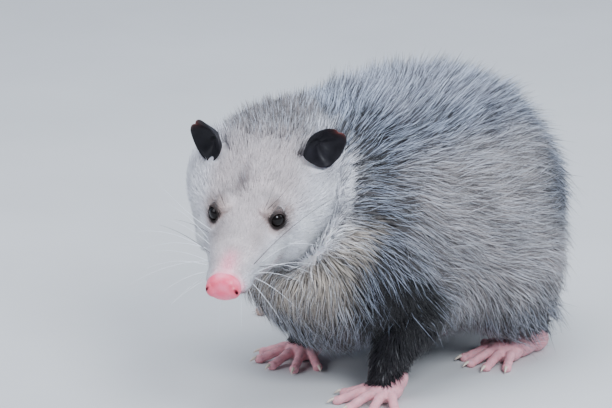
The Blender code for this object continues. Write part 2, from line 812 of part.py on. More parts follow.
FORE_PALM = (((0, 0, 8), (12, 14, 8)), ((0, 7, 15), (11, 12, 11)))
FORE_TOES = (
    ((-5, -1), -62, 23, True),
    ((-5, -5), -30, 25, True),
    ((0, -6), -3, 26, True),
    ((5, -5), 24, 25, True),
    ((6, -1), 54, 23, True),
)
HIND_SOLE = (
    ((0, 18, 9), (9.5, 11, 9)),
    ((0, 14, 16), (9.5, 10, 11)),
    ((0, 0, 8), (11, 19, 8)),
    ((0, -13, 7.5), (14, 12, 7.5)),
)
HIND_TOES = (
    ((-7, -15), -28, 22, True),
    ((-2, -18), -9, 23, True),
    ((4, -18), 10, 22, True),
    ((8, -14), 32, 20, True),
    ((-7, -4), -98, 22, False),
)

# Tail: x, y, z and radius. Where it lies on the floor the height is the radius less the flat.
TAIL = (
    (0.0, 152.0, 92.0, 15.0),
    (0.0, 172.0, 79.0, 13.0),
    (-1.0, 185.0, 54.0, 11.0),
    (-7.0, 192.0, 27.0, 9.6),
    (-22.0, 200.0, 8.5, 8.8),
    (-48.0, 206.0, 7.4, 7.8),
    (-78.0, 202.0, 6.5, 6.9),
    (-106.0, 186.0, 5.7, 6.1),
    (-127.0, 160.0, 5.0, 5.4),
    (-141.0, 129.0, 4.2, 4.6),
    (-146.0, 96.0, 3.5, 3.9),
    (-143.0, 64.0, 2.7, 3.1),
)
TAIL_NAMES = ("tail_base", "tail_second", "tail_third", "tail_tip")
TAIL_RINGS = (10, 10, 10, 10)


def directions(points):
    tangents = np.gradient(np.asarray(points, float), axis=0)
    return tangents / np.linalg.norm(tangents, axis=1)[:, None]


def swept(points, radii, sides, tangents):
    """A closed round tube whose rings don't twist along the line."""
    side = np.cross(tangents[0], (0.3, 0.9, 0.2))
    shell_points, faces = [], []
    for point, tangent, radius in zip(points, tangents, radii):
        side = side - tangent * side.dot(tangent)
        side /= np.linalg.norm(side)
        top = np.cross(tangent, side)
        for k in range(sides):
            angle = 2 * math.pi * k / sides
            shell_points.append(point + (side * math.cos(angle) + top * math.sin(angle)) * radius)
    rings = len(points)
    for ring in range(rings - 1):
        a, b = ring * sides, (ring + 1) * sides
        for k in range(sides):
            n = (k + 1) % sides
            faces.append((a + k, a + n, b + n, b + k))
    shell_points += [points[0], points[-1]]
    first, last = len(shell_points) - 2, len(shell_points) - 1
    for k in range(sides):
        n = (k + 1) % sides
        faces.append((first, n, k))
        faces.append((last, (rings - 1) * sides + k, (rings - 1) * sides + n))
    return facing_out((np.array(shell_points), faces))


def make_tail(torso):
    """The tail in lengths that meet end to end."""
    total = sum(TAIL_RINGS) - len(TAIL_RINGS) + 1
    rows = resample(TAIL, total)
    tangents = directions(rows[:, :3])
    pieces, first = [], 0
    for name, rings in zip(TAIL_NAMES, TAIL_RINGS):
        last = first + rings
        points, radii, along = rows[first:last, :3].copy(), rows[first:last, 3], tangents[first:last]
        first = last - 1
        points[-1] -= along[-1] * GAP / 2
        points[0] += along[0] * GAP / 2
        slot = "dark_tail" if name == TAIL_NAMES[0] else "pale_tail"
        piece = solid(name, [swept(points, radii, 10, along)], slot)
        slice_off(piece, (0, 0, 0), (0, 0, -1))
        pieces.append(piece)
    fit_against(pieces[0], torso)
    return pieces


def move_origin():
    """Puts the origin at the middle of the model's box, on the floor."""
    shapes = list(bpy.context.scene.collection.objects)
    corners = np.array([v.co for obj in shapes for v in obj.data.vertices])
    low, high = corners.min(axis=0), corners.max(axis=0)
    middle = (low + high) / 2
    step = Matrix.Translation((-middle[0], -middle[1], -low[2]))
    for obj in shapes:
        obj.data.transform(step)
        obj.data.update()


def grow_coat(trunk, torso, neck, neighbours):
    """The neck's locks first, lying over the torso's front, then the torso's, which clear them."""
    draw = random.Random(SEED)
    head_tree = surface_of(neighbours[0])
    core = surface_of(trunk)
    roots = [r for r in scattered_roots(trunk, draw) if r[1][2] > LOCK_UNDERSIDE]
    ahead = [r for r in roots if r[0][1] < NECK_CUT_Y]
    behind = [r for r in roots if r[0][1] >= NECK_CUT_Y]
    grow_locks(neck, ahead, core, [torso, *neighbours], head_tree, draw)
    grow_locks(torso, behind, core, [neck, *neighbours], head_tree, draw)
    remove(trunk)


def build():
    clear_scene()
    nose = nose_pad()
    head = make_head()
    fit_against(head, nose)
    ears = []
    for side, word in ((1, "left"), (-1, "right")):
        make_eye(side, f"eye_{word}")
        ears.append(make_ear(side, f"ear_{word}", head))
    trunk = make_trunk(CORE_SHARE, head)
    torso, neck = copy_of(trunk), copy_of(trunk)
    torso.name, neck.name = "torso", "neck"
    slice_off(torso, (0, NECK_CUT_Y, 0), (0, -1, 0), -GAP / 2)
    slice_off(neck, (0, NECK_CUT_Y, 0), (0, 1, 0), -GAP / 2)
    for ear in ears:
        fit_against(neck, ear)
    limbs = []
    for side, word in ((1, "left"), (-1, "right")):
        shift = 0.0 if side == 1 else 2 * FORE_STAGGER
        limbs.append(make_leg(f"foreleg_{word}", FORELEG, side, shift, WRIST_CUT, (torso, neck)))
        at = (FORE_STANCE, FORE_FOOT_Y + shift)
        limbs.append(make_foot(f"forefoot_{word}", side, at, FORE_PALM, FORE_TOES, WRIST_CUT))
        limbs.append(make_leg(f"hindleg_{word}", HINDLEG, side, 0.0, ANKLE_CUT, (torso,)))
        at = (HIND_STANCE, HIND_FOOT_Y)
        limbs.append(make_foot(f"hindfoot_{word}", side, at, HIND_SOLE, HIND_TOES, ANKLE_CUT))
    tail = make_tail(torso)
    grow_coat(trunk, torso, neck, [head, *ears, *limbs, *tail])
    move_origin()


build()
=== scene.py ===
"""Looks of a life-size opossum model: one skin, its coat of tufts and guard hairs, and the details.

Lengths are in millimetres and become metres where a mesh is made. The animal's own axes are x to its
left, y towards its tail and z up, with x = y = 0 midway between the fore feet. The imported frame's
origin lies elsewhere, and the left eye's node gives the step between the two.
"""

import math

import bpy
import numpy as np
from mathutils import Matrix, Vector
from mathutils.bvhtree import BVHTree
from mathutils.kdtree import KDTree


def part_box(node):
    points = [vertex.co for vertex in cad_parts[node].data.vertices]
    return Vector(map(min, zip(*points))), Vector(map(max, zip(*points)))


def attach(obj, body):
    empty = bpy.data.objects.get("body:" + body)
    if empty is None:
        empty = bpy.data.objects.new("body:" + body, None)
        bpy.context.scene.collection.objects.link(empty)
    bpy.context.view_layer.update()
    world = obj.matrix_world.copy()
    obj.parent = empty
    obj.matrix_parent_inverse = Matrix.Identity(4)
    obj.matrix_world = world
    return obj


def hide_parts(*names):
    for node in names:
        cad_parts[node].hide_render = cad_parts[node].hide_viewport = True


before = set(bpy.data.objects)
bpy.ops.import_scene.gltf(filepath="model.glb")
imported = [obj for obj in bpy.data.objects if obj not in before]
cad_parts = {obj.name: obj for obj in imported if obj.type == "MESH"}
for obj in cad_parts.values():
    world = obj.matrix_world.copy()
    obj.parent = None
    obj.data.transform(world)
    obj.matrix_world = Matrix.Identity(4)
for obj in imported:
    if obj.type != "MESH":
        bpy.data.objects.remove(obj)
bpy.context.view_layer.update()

MM = 0.001
SEED = 7

# Camera: the photograph's angle, its distance, the millimetres that a pixel shows, and the pixel at
# which the animal's origin lies.
CAMERA_AZIMUTH, CAMERA_ELEVATION = 45.0, 16.0
CAMERA_DISTANCE = 2.6
PHOTO_WIDTH, PHOTO_HEIGHT = 612, 408
PHOTO_PIXEL = 0.68
PHOTO_ORIGIN = (338.0, 381.0)

# Head, as in the part's source.
EYE_LINE = np.array([16.0, -102.0, 140.0])
HEAD_YAW, HEAD_PITCH, HEAD_ROLL = 31.0, 17.0, 2.5
EYE_SPACING, EYE_RADIUS, EYE_SET_BACK = 37.0, 6.3, 3.0
EYE_YAW, EYE_RISE = 42.0, 10.0
LID_WALL = 1.2
LID_OPENING_LONG, LID_OPENING_HIGH = 5.4, 4.9
NOSE_FORWARD, NOSE_DROP = 60.0, 14.0
NOSE_MIDDLE = (0.0, NOSE_FORWARD, -NOSE_DROP)
NOSE_WIDTH, NOSE_HEIGHT, NOSE_DEPTH = 23.0, 18.5, 15.0
EAR_SPACING, EAR_BACK, EAR_UP = 70.0, 48.0, 12.5
EAR_LENGTH, EAR_WIDTH, EAR_WALL, EAR_CUP = 30.0, 31.0, 1.1, 9.5
EAR_AXIS = (0.42, -0.30, 0.86)
EAR_FACING = (0.68, 0.66, 0.20)
EAR_TURN = 36.0
# The right ear stands this much deeper in the fur than the left.
RIGHT_EAR_SINK = 4.0

# Legs, as in the part's source.
BOXY_FLANKS = 2.9
FORE_STANCE, FORE_STAGGER = 51.0, 13.0
HIND_STANCE, HIND_FOOT_Y = 49.0, 127.0
FORE_FOOT_Y = -8.0
TOE_RADIUS = 3.4
CLAW_LENGTH, CLAW_RADIUS = 5.0, 1.1
SOLE_FLAT = 0.6

# The skin lies this share of the coat's depth inside the coat's surface.
SKIN_SHARE = 0.55
# Voxel size and rounds of smoothing where shells are melted into one.
HEAD_MELT, TRUNK_MELT, FOOT_MELT, NOSE_MELT = (1.25, 8), (2.6, 80), (0.85, 2), (0.4, 5)
# Radii of the lips and of the groove between them, and the points along the mouth.
LIP_RADIUS, MOUTH_GROOVE, MOUTH_POINTS = 1.45, 0.8, 61
# Metres between the floor and the lowest of feet, tail and bristles.
FLOOR_CLEARANCE = 0.0002
# Side of each hair's patch of the bake map, and the places of a bristle's four points within it.
OFBAKE_PATCH = 0.003
BRISTLE_PATCH = ((0.5, 1.0), (0.0, 0.0), (1.0, 0.0), (0.5, 0.5))
# Hairs start this far under the skin and keep these distances from floor and lips.
HAIR_SINK, OFF_FLOOR, OFF_LIPS = 1.0, 0.4, 1.3
# The colour of the tips keeps to the outer part of a hair by this power.
TIP_FADE = 1.5
# No coat piece has more triangles than this.
PIECE_TRIANGLES = 190000
# How finely ear cups and lid margins are made.
EAR_RINGS, EAR_SIDES = 16, 72
LID_RINGS, LID_SIDES = 72, 10
# Half the floor's width, in metres.
FLOOR_HALF = 6.0

# Rows of the head: y, z, half width, above, below and the depth of the short fur there.
HEAD_ROWS = (
    (61.0, -15.0, 8.0, 7.5, 7.0, 0.5),
    (55.0, -15.0, 10.5, 9.5, 8.5, 0.8),
    (46.0, -15.0, 13.5, 12.5, 11.0, 1.2),
    (34.0, -15.5, 17.5, 16.0, 13.5, 1.8),
    (20.0, -16.0, 22.5, 20.5, 17.0, 2.6),
    (6.0, -16.5, 28.0, 24.5, 22.0, 3.4),
    (-4.0, -17.0, 33.5, 28.0, 26.0, 4.2),
    (-14.0, -17.0, 40.0, 32.0, 30.0, 5.2),
    (-26.0, -16.0, 46.5, 36.0, 34.0, 6.2),
    (-42.0, -14.0, 53.0, 40.0, 38.0, 7.4),
    (-58.0, -12.0, 57.5, 42.0, 42.0, 8.4),
    (-72.0, -11.0, 59.0, 42.0, 44.0, 9.5),
    (-88.0, -10.0, 54.0, 38.0, 40.0, 10.5),
    (-104.0, -8.0, 42.0, 30.0, 34.0, 11.0),
)
# Fullnesses of cheek, muzzle and brow: centre on the left side, radii, and the fur's depth.
FACE_FORMS = (
    ((23.0, -19.0, -23.0), (18.5, 28.0, 16.5), 5.5),
    ((8.5, 43.0, -17.5), (7.5, 14.0, 8.0), 1.2),
    ((13.5, -6.0, 6.0), (8.5, 12.0, 6.5), 2.6),
)
JAW_FORM = ((0.0, 27.0, -25.5), (10.5, 26.0, 7.5), 1.5)
# A nostril: a slit down the side of the pad that turns inwards. Offsets from the pad's middle, radius.
NOSTRIL = (
    (7.4, 7.6, 4.8, 0.4),
    (9.2, 6.2, 2.4, 0.7),
    (9.8, 5.0, -0.2, 0.9),
    (8.4, 3.4, -1.8, 0.9),
    (5.4, 0.4, -1.4, 0.7),
)
# The groove down the pad: how far before its front and over its middle.
NOSE_GROOVE = ((-0.2, 5.0), (1.0, 0.0), (-1.0, -7.5))
MOUTH_SIDE = (
    (0.0, 58.0, -22.5),
    (7.5, 54.0, -22.5),
    (11.5, 46.0, -23.0),
    (14.0, 36.0, -23.5),
    (16.5, 24.0, -23.5),
    (20.5, 13.0, -22.0),
    (24.0, 5.0, -20.0),
)

# Trunk: x, y, z of its line, half width, height above, depth below, and the coat's depth there.
TRUNK = (
    (-3.0, -62.0, 148.0, 38.0, 32.0, 34.0, 6.0),
    (-14.0, -43.0, 148.0, 61.0, 56.0, 60.0, 22.0),
    (-11.0, -18.0, 138.0, 70.0, 69.0, 84.0, 26.0),
    (-4.0, 14.0, 124.0, 77.0, 80.0, 98.0, 28.0),
    (0.0, 48.0, 116.0, 80.0, 85.0, 94.0, 28.0),
    (0.0, 84.0, 114.0, 82.0, 87.0, 93.0, 28.0),
    (0.0, 116.0, 112.0, 79.0, 80.0, 90.0, 28.0),
    (0.0, 144.0, 105.0, 67.0, 62.0, 79.0, 26.0),
    (0.0, 165.0, 99.0, 49.0, 42.0, 59.0, 22.0),
    (0.0, 178.0, 95.0, 26.0, 23.0, 31.0, 18.0),
)
CHEST = ((0.0, -6.0, 78.0), (52.0, 42.0, 54.0), 22.0)
HAUNCH = ((47.0, 116.0, 72.0), (34.0, 44.0, 54.0), 16.0)
SHOULDER = ((47.0, 14.0, 92.0), (27.0, 34.0, 42.0), 14.0)
FORELEG = (
    (41.0, 24.0, 92.0, 15.0, 17.0, 18.0),
    (50.0, 28.0, 66.0, 16.0, 18.0, 19.0),
    (52.0, 13.0, 44.0, 15.0, 15.5, 15.5),
    (50.0, -3.0, 25.0, 12.5, 13.0, 12.5),
    (50.0, -8.0, 12.0, 11.0, 12.0, 12.0),
)
HINDLEG = (
    (42.0, 114.0, 82.0, 16.0, 20.0, 20.0),
    (50.0, 106.0, 57.0, 16.0, 18.0, 18.0),
    (53.0, 124.0, 38.0, 13.0, 15.0, 14.0),
    (50.0, 142.0, 22.0, 10.5, 12.0, 11.5),
    (49.0, 145.0, 12.0, 9.5, 10.0, 10.0),
)
LEG_FUR = 2.5
FORE_PALM = (((0, 0, 8), (12, 14, 8)), ((0, 7, 15), (11, 12, 11)))
FORE_TOES = (
    ((-5, -1), -62, 23, True),
    ((-5, -5), -30, 25, True),
    ((0, -6), -3, 26, True),
    ((5, -5), 24, 25, True),
    ((6, -1), 54, 23, True),
)
HIND_SOLE = (
    ((0, 18, 9), (9.5, 11, 9)),
    ((0, 14, 16), (9.5, 10, 11)),
    ((0, 0, 8), (11, 19, 8)),
    ((0, -13, 7.5), (14, 12, 7.5)),
)
HIND_TOES = (
    ((-7, -15), -28, 22, True),
    ((-2, -18), -9, 23, True),
    ((4, -18), 10, 22, True),
    ((8, -14), 32, 20, True),
    ((-7, -4), -98, 22, False),
)
TAIL = (
    (0.0, 152.0, 92.0, 15.0),
    (0.0, 172.0, 79.0, 13.0),
    (-1.0, 185.0, 54.0, 11.0),
    (-7.0, 192.0, 27.0, 9.6),
    (-22.0, 200.0, 8.5, 8.8),
    (-48.0, 206.0, 7.4, 7.8),
    (-78.0, 202.0, 6.5, 6.9),
    (-106.0, 186.0, 5.7, 6.1),
    (-127.0, 160.0, 5.0, 5.4),
    (-141.0, 129.0, 4.2, 4.6),
    (-146.0, 96.0, 3.5, 3.9),
    (-143.0, 64.0, 2.7, 3.1),
)
TAIL_FURRED = 62.0
TAIL_DARK = 150.0

# The rear of the head, a little inside its skin, melts into the trunk so that no crease parts them.
HEAD_REAR_ROW, HEAD_TUCK = 9, 1.5


def unit(vectors):
    vectors = np.asarray(vectors, float)
    return vectors / np.maximum(np.linalg.norm(vectors, axis=-1, keepdims=True), 1e-9)


def smooth_step(low, high, values):
    share = np.clip((np.asarray(values, float) - low) / (high - low), 0.0, 1.0)
    return share * share * (3.0 - 2.0 * share)


def blend(first, second, share):
    """Colours from the first to the second by a share for each point."""
    share = np.asarray(share, float)[..., None]
    return np.asarray(first, float) * (1.0 - share) + np.asarray(second, float) * share


def resample(rows, count):
    """Rows read along a smooth curve through all of them, at even steps between rows."""
    rows = np.asarray(rows, float)
    padded = np.vstack([2 * rows[0] - rows[1], rows, 2 * rows[-1] - rows[-2]])
    where = np.linspace(0, len(rows) - 1, count)
    index = np.minimum(where.astype(int), len(rows) - 2)
    t = (where - index)[:, None]
    p0, p1, p2, p3 = (padded[index + k] for k in range(4))
    return 0.5 * (
        2 * p1
        + (p2 - p0) * t
        + (2 * p0 - 5 * p1 + 4 * p2 - p3) * t**2
        + (3 * p1 - p0 - 3 * p2 + p3) * t**3
    )


def facing_out(shell):
    """The shell with its faces turned round if they point inwards."""
    points, faces = shell
    total = 0.0
    for face in faces:
        a = points[face[0]]
        for b, c in zip(face[1:], face[2:]):
            total += np.dot(a, np.cross(points[b], points[c]))
    return (points, faces) if total > 0 else (points, [f[::-1] for f in faces])


def tube_faces(rings, sides):
    """The side faces of a tube and its two end fans, with the pole points last."""
    faces = []
    for ring in range(rings - 1):
        a, b = ring * sides, (ring + 1) * sides
        for k in range(sides):
            n = (k + 1) % sides
            faces.append((a + k, a + n, b + n, b + k))
    first, last = rings * sides, rings * sides + 1
    end = (rings - 1) * sides
    for k in range(sides):
        n = (k + 1) % sides
        faces.append((first, n, k))
        faces.append((last, end + k, end + n))
    return faces


def loft(rows, rings, sides, up=(0, 0, 1), rounded_ends=True, boxy_below=2.0):
    """A closed tube through rows of x, y, z, half width, height above and depth below the line."""
    rows = resample(rows, rings)
    line = rows[:, :3]
    tangents = unit(np.gradient(line, axis=0))
    side = unit(np.cross(tangents, np.asarray(up, float)))
    top = np.cross(side, tangents)
    angles = np.linspace(0, 2 * math.pi, sides, endpoint=False)
    wide, high = np.cos(angles), np.sin(angles)
    squareness = np.where(high < 0, 2.0 / boxy_below, 1.0)
    wide, high = (np.sign(v) * np.abs(v) ** squareness for v in (wide, high))
    tall = np.where(high[None, :] > 0, rows[:, 4:5], rows[:, 5:6]) * high[None, :]
    ring_points = (
        line[:, None, :]
        + side[:, None, :] * (rows[:, 3:4] * wide[None, :])[:, :, None]
        + top[:, None, :] * tall[:, :, None]
    )
    reach = 0.35 if rounded_ends else 0.0
    poles = [
        line[0] - tangents[0] * reach * rows[0, 3],
        line[-1] + tangents[-1] * reach * rows[-1, 3],
    ]
    points = np.vstack([ring_points.reshape(-1, 3), poles])
    return facing_out((points, tube_faces(rings, sides)))


def swept(points, radii, sides):
    """A closed round tube whose rings don't twist along the line."""
    tangents = unit(np.gradient(points, axis=0))
    side = np.cross(tangents[0], (0.3, 0.9, 0.2))
    angles = np.linspace(0, 2 * math.pi, sides, endpoint=False)
    shell_points = []
    for point, tangent, radius in zip(points, tangents, radii):
        side = unit(side - tangent * side.dot(tangent))
        top = np.cross(tangent, side)
        ring = side * np.cos(angles)[:, None] + top * np.sin(angles)[:, None]
        shell_points.append(point + ring * radius)
    shell_points.append(np.array([points[0], points[-1]]))
    return facing_out((np.vstack(shell_points), tube_faces(len(points), sides)))


def tube(rows, sides):
    """The same along rows of x, y, z and radius."""
    return swept(rows[:, :3], rows[:, 3], sides)


def ball(centre, radii, rings=24, sides=36, turn=None):
    """An ellipsoid. turn is a 3 by 3 array whose columns are its own axes."""
    turn = np.eye(3) if turn is None else np.asarray(turn)
    points, faces = [], []
    for ring in range(1, rings):
        polar = math.pi * ring / rings
        for k in range(sides):
            angle = 2 * math.pi * k / sides
            flat = math.sin(polar)
            points.append((flat * math.cos(angle), flat * math.sin(angle), math.cos(polar)))
    for ring in range(rings - 2):
        a, b = ring * sides, (ring + 1) * sides
        for k in range(sides):
            n = (k + 1) % sides
            faces.append((a + k, b + k, b + n, a + n))
    top, bottom = len(points), len(points) + 1
    points += [(0, 0, 1), (0, 0, -1)]
    last = (rings - 2) * sides
    for k in range(sides):
        n = (k + 1) % sides
        faces.append((top, k, n))
        faces.append((bottom, last + n, last + k))
    return np.array(points) * np.asarray(radii, float) @ turn.T + np.asarray(centre, float), faces


def head_matrix():
    """Columns are the head's left, forward and up axes; the origin is midway between the eyes."""
    yaw, pitch, roll = (math.radians(a) for a in (HEAD_YAW, HEAD_PITCH, HEAD_ROLL))
    turn = (
        Matrix.Rotation(yaw, 3, "Z")
        @ Matrix.Rotation(pitch, 3, "X")
        @ Matrix.Rotation(roll, 3, "Y")
    )
    return np.array(turn @ Matrix(((1, 0, 0), (0, -1, 0), (0, 0, 1))))


HEAD = head_matrix()


def on_head(points):
    """Points of the head's own frame, placed on the animal."""
    return np.asarray(points, float) @ HEAD.T + EYE_LINE


def in_head(points):
    """Points of the animal, told in the head's own frame."""
    return (np.asarray(points, float) - EYE_LINE) @ HEAD


def head_shell(shell):
    points, faces = shell
    return facing_out((on_head(points), faces))


def mirrored(point, side):
    return (side * point[0], point[1], point[2])


def eye_centre(side):
    return np.array((side * EYE_SPACING / 2, -EYE_SET_BACK, 0.0))


def eye_axes(side):
    """Columns are the eye's across, lid-to-lid and outward axes in the head's frame."""
    yaw, rise = math.radians(EYE_YAW), math.radians(EYE_RISE)
    outward = np.array(
        (side * math.sin(yaw) * math.cos(rise), math.cos(yaw) * math.cos(rise), math.sin(rise))
    )
    across = unit(np.cross((0, 0, 1), outward))
    return np.column_stack([across, np.cross(outward, across), outward])


def frame_step():
    """From the animal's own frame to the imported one, in metres, by the left eye's node."""
    low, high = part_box("eye_left")
    middle = (np.array(low) + np.array(high)) / 2
    return middle - on_head([eye_centre(1)])[0] * MM


STEP = frame_step()


def to_scene(points):
    return np.asarray(points, float) * MM + STEP


# Meshes.
def mesh_from_arrays(name, points, triangles):
    """A smooth mesh from millimetre points and an array of triangles."""
    mesh = bpy.data.meshes.new(name)
    mesh.vertices.add(len(points))
    mesh.vertices.foreach_set("co", to_scene(points).astype(np.float32).ravel())
    mesh.loops.add(triangles.size)
    mesh.loops.foreach_set("vertex_index", triangles.astype(np.int32).ravel())
    mesh.polygons.add(len(triangles))
    mesh.polygons.foreach_set("loop_start", np.arange(0, triangles.size, 3, dtype=np.int32))
    mesh.polygons.foreach_set("use_smooth", np.ones(len(triangles), bool))
    mesh.update(calc_edges=True)
    return mesh


def add_object(name, mesh, *materials):
    obj = bpy.data.objects.new(name, mesh)
    bpy.context.scene.collection.objects.link(obj)
    mesh.materials.clear()
    for material in materials:
        mesh.materials.append(material)
    return obj


def merged(shells):
    """The points and faces of several shells in one list each."""
    points, faces, first = [], [], 0
    for shell_points, shell_faces in shells:
        points.extend(shell_points.tolist())
        faces.extend(tuple(first + i for i in f) for f in shell_faces)
        first += len(shell_points)
    return points, faces


def solid(name, shells, *materials):
    """One smooth object from (points, faces) shells in millimetres."""
    points, faces = merged(shells)
    mesh = bpy.data.meshes.new(name)
    mesh.from_pydata(to_scene(points).tolist(), [], faces)
    mesh.validate()
    mesh.shade_smooth()
    return add_object(name, mesh, *materials)


def dress(obj, material):
    """Gives a finished object its one material and smooth shading."""
    obj.data.materials.clear()
    obj.data.materials.append(material)
    obj.data.shade_smooth()


def apply_modifiers(obj):
    graph = bpy.context.evaluated_depsgraph_get()
    mesh = bpy.data.meshes.new_from_object(obj.evaluated_get(graph))
    obj.modifiers.clear()
    obj.data = mesh
    return obj


def fuse(name, shells, voxel, smoothing):
    """Melts overlapping shells into one smooth skin."""
    obj = solid(name, shells)
    melt = obj.modifiers.new("melt", "REMESH")
    melt.mode = "VOXEL"
    melt.voxel_size = voxel * MM
    soften = obj.modifiers.new("soften", "SMOOTH")
    soften.factor = 0.5
    soften.iterations = smoothing
    return apply_modifiers(obj)


def boolean(obj, other, operation):
    """Joins another object to this one or cuts it out, and uses the other up."""
    step = obj.modifiers.new(operation.lower(), "BOOLEAN")
    step.operation = operation
    step.solver = "MANIFOLD"
    step.object = other
    apply_modifiers(obj)
    bpy.data.objects.remove(other, do_unlink=True)


def read_rows(items, field, width, kind=np.float32):
    """One property of every item of a mesh, as rows of an array."""
    flat = np.empty(len(items) * width, kind)
    items.foreach_get(field, flat)
    return flat.reshape(-1, width)


def points_of(obj):
    """The object's vertices in the animal's own frame, in millimetres."""
    return (read_rows(obj.data.vertices, "co", 3).astype(float) - STEP) / MM


def triangles_of(obj):
    obj.data.calc_loop_triangles()
    return read_rows(obj.data.loop_triangles, "vertices", 3, np.int32)


def tree_of_shells(shells):
    return BVHTree.FromPolygons(*merged(shells))


def tree_of_points(points):
    tree = KDTree(len(points))
    for index, point in enumerate(points):
        tree.insert(point, index)
    tree.balance()
    return tree


def tree_of(obj):
    return BVHTree.FromPolygons(points_of(obj).tolist(), triangles_of(obj).tolist())


def gaps_to(tree, points):
    """How far each point lies from a tree's surface, in millimetres."""
    return np.array([tree.find_nearest(p)[3] for p in points.tolist()])


def nearest_listed(tree, points):
    """For each point, the number of the nearest point of a tree and how far it is."""
    found = [tree.find(p) for p in points.tolist()]
    return np.array([f[1] for f in found]), np.array([f[2] for f in found])


# The skin: each region's shells, fused finely where the form is fine.
def thinned(radii, depth):
    return [r - depth for r in radii]


def head_rows(inside=0.0):
    rows = []
    for y, z, wide, above, below, fur in HEAD_ROWS:
        rows.append((0.0, y, z, *thinned((wide, above, below), fur + inside)))
    return rows


def head_shells():
    shells = [loft(head_rows(), 60, 48)]
    centre, radii, depth = JAW_FORM
    shells.append(ball(centre, thinned(radii, depth)))
    for side in (1, -1):
        for centre, radii, depth in FACE_FORMS:
            shells.append(ball(mirrored(centre, side), thinned(radii, depth)))
        shells.append(ball(eye_centre(side), [EYE_RADIUS + LID_WALL] * 3))
    return [head_shell(s) for s in shells]


def trunk_shells(share):
    rows = [(x, y, z, w - c * share, a - c * share, b - c * share) for x, y, z, w, a, b, c in TRUNK]
    shells = [loft(rows, 60, 48, boxy_below=BOXY_FLANKS)]
    for side in (1, -1):
        for centre, radii, coat in (HAUNCH, SHOULDER):
            shells.append(ball(mirrored(centre, side), thinned(radii, coat * share)))
    centre, radii, coat = CHEST
    shells.append(ball(centre, thinned(radii, coat * share)))
    return shells


def leg_shell(rows, side, shift):
    placed = [
        (side * x, y + shift, z, w - LEG_FUR, back - LEG_FUR, front - LEG_FUR)
        for x, y, z, w, back, front in rows
    ]
    return loft(placed, 28, 28, up=(0, 1, 0))


def fore_shift(side):
    """How far back a fore leg stands: the right one is staggered behind the left."""
    return 0.0 if side == 1 else 2 * FORE_STAGGER


def leg_shells():
    """The fore and hind legs of both sides."""
    fore = [leg_shell(FORELEG, side, fore_shift(side)) for side in (1, -1)]
    hind = [leg_shell(HINDLEG, side, 0.0) for side in (1, -1)]
    return fore, hind


def toe_parts(root, angle, length, side):
    """One toe's shells with a crease at each joint, and its claw's place and direction."""
    turn = math.radians(angle)
    way = np.array((side * math.sin(turn), -math.cos(turn), 0.0))
    tip_radius = TOE_RADIUS * 0.92
    line, radii = [], []
    for share, height, radius in (
        (0.0, 8.5, 1.15),
        (0.2, 8.2, 1.02),
        (0.4, 7.6, 1.05),
        (0.58, 6.3, 0.90),
        (0.75, 5.0, 0.95),
        (0.88, 4.0, 0.86),
        (1.0, tip_radius, 0.92),
    ):
        line.append(np.array(root) + way * length * share + (0, 0, height - SOLE_FLAT))
        radii.append(TOE_RADIUS * radius)
    rows = resample(np.column_stack([line, radii]), 25)
    pad = ball(line[-1], [tip_radius * 1.12] * 3, 14, 18)
    return [tube(rows, 18), pad], line[-1], way


def claw_shell(tip, way):
    line = [
        tip + way * 1.2 + (0, 0, 1.2),
        tip + way * 3.6 + (0, 0, 1.3),
        tip + way * (2.4 + CLAW_LENGTH * 0.75) + (0, 0, -0.1),
        tip + way * (2.4 + CLAW_LENGTH) + (0, 0, -1.2),
    ]
    radii = [CLAW_RADIUS, CLAW_RADIUS, CLAW_RADIUS * 0.6, 0.15]
    return tube(resample(np.column_stack([line, radii]), 13), 12)


def feet():
    """Every foot: its name, side, place, pads and toes."""
    listed = []
    for side, word in ((1, "left"), (-1, "right")):
        at = (side * FORE_STANCE, FORE_FOOT_Y + fore_shift(side), 0.0)
        listed.append((f"forefoot_{word}", side, np.array(at), FORE_PALM, FORE_TOES))
        at = (side * HIND_STANCE, HIND_FOOT_Y, 0.0)
        listed.append((f"hindfoot_{word}", side, np.array(at), HIND_SOLE, HIND_TOES))
    return listed


def foot_shells(side, at, palm, toes):
    shells, claws = [], []
    for offset, radii in palm:
        shells.append(ball(at + mirrored(offset, side) - (0, 0, SOLE_FLAT), radii))
    for offset, angle, length, has_claw in toes:
        pieces, tip, way = toe_parts(at + mirrored((*offset, 0.0), side), angle, length, side)
        shells += pieces
        if has_claw:
            claws.append(claw_shell(tip, way))
    return shells, claws


def tail_rows():
    return resample(TAIL, 160)


def flattened_at_floor(obj):
    """Presses whatever reaches below the floor up to it."""
    points = to_scene(points_of(obj))
    points[:, 2] = np.maximum(points[:, 2], FLOOR_CLEARANCE)
    obj.data.vertices.foreach_set("co", points.astype(np.float32).ravel())
    obj.data.update()
    return obj


def lid_opening(side):
    """A short elliptic cone from the eye's middle outwards, which parts the lids."""
    axes, centre = eye_axes(side), eye_centre(side)
    rows = []
    for out, share in ((1.0, 0.62), (EYE_RADIUS, 1.0), (EYE_RADIUS + 9.0, 1.5)):
        high = LID_OPENING_HIGH * share
        rows.append((*(centre + axes[:, 2] * out), LID_OPENING_LONG * share, high, high))
    return head_shell(loft(rows, 3, 48, up=axes[:, 1], rounded_ends=False))


def mouth_line(tree):
    """The line of the mouth, laid on the skin from one corner round the front to the other."""
    left = [np.array(p) for p in MOUTH_SIDE]
    whole = [p * (-1, 1, 1) for p in left[:0:-1]] + left
    placed = on_head(resample(whole, MOUTH_POINTS))
    return np.array([tree.find_nearest(p)[0] for p in placed.tolist()])


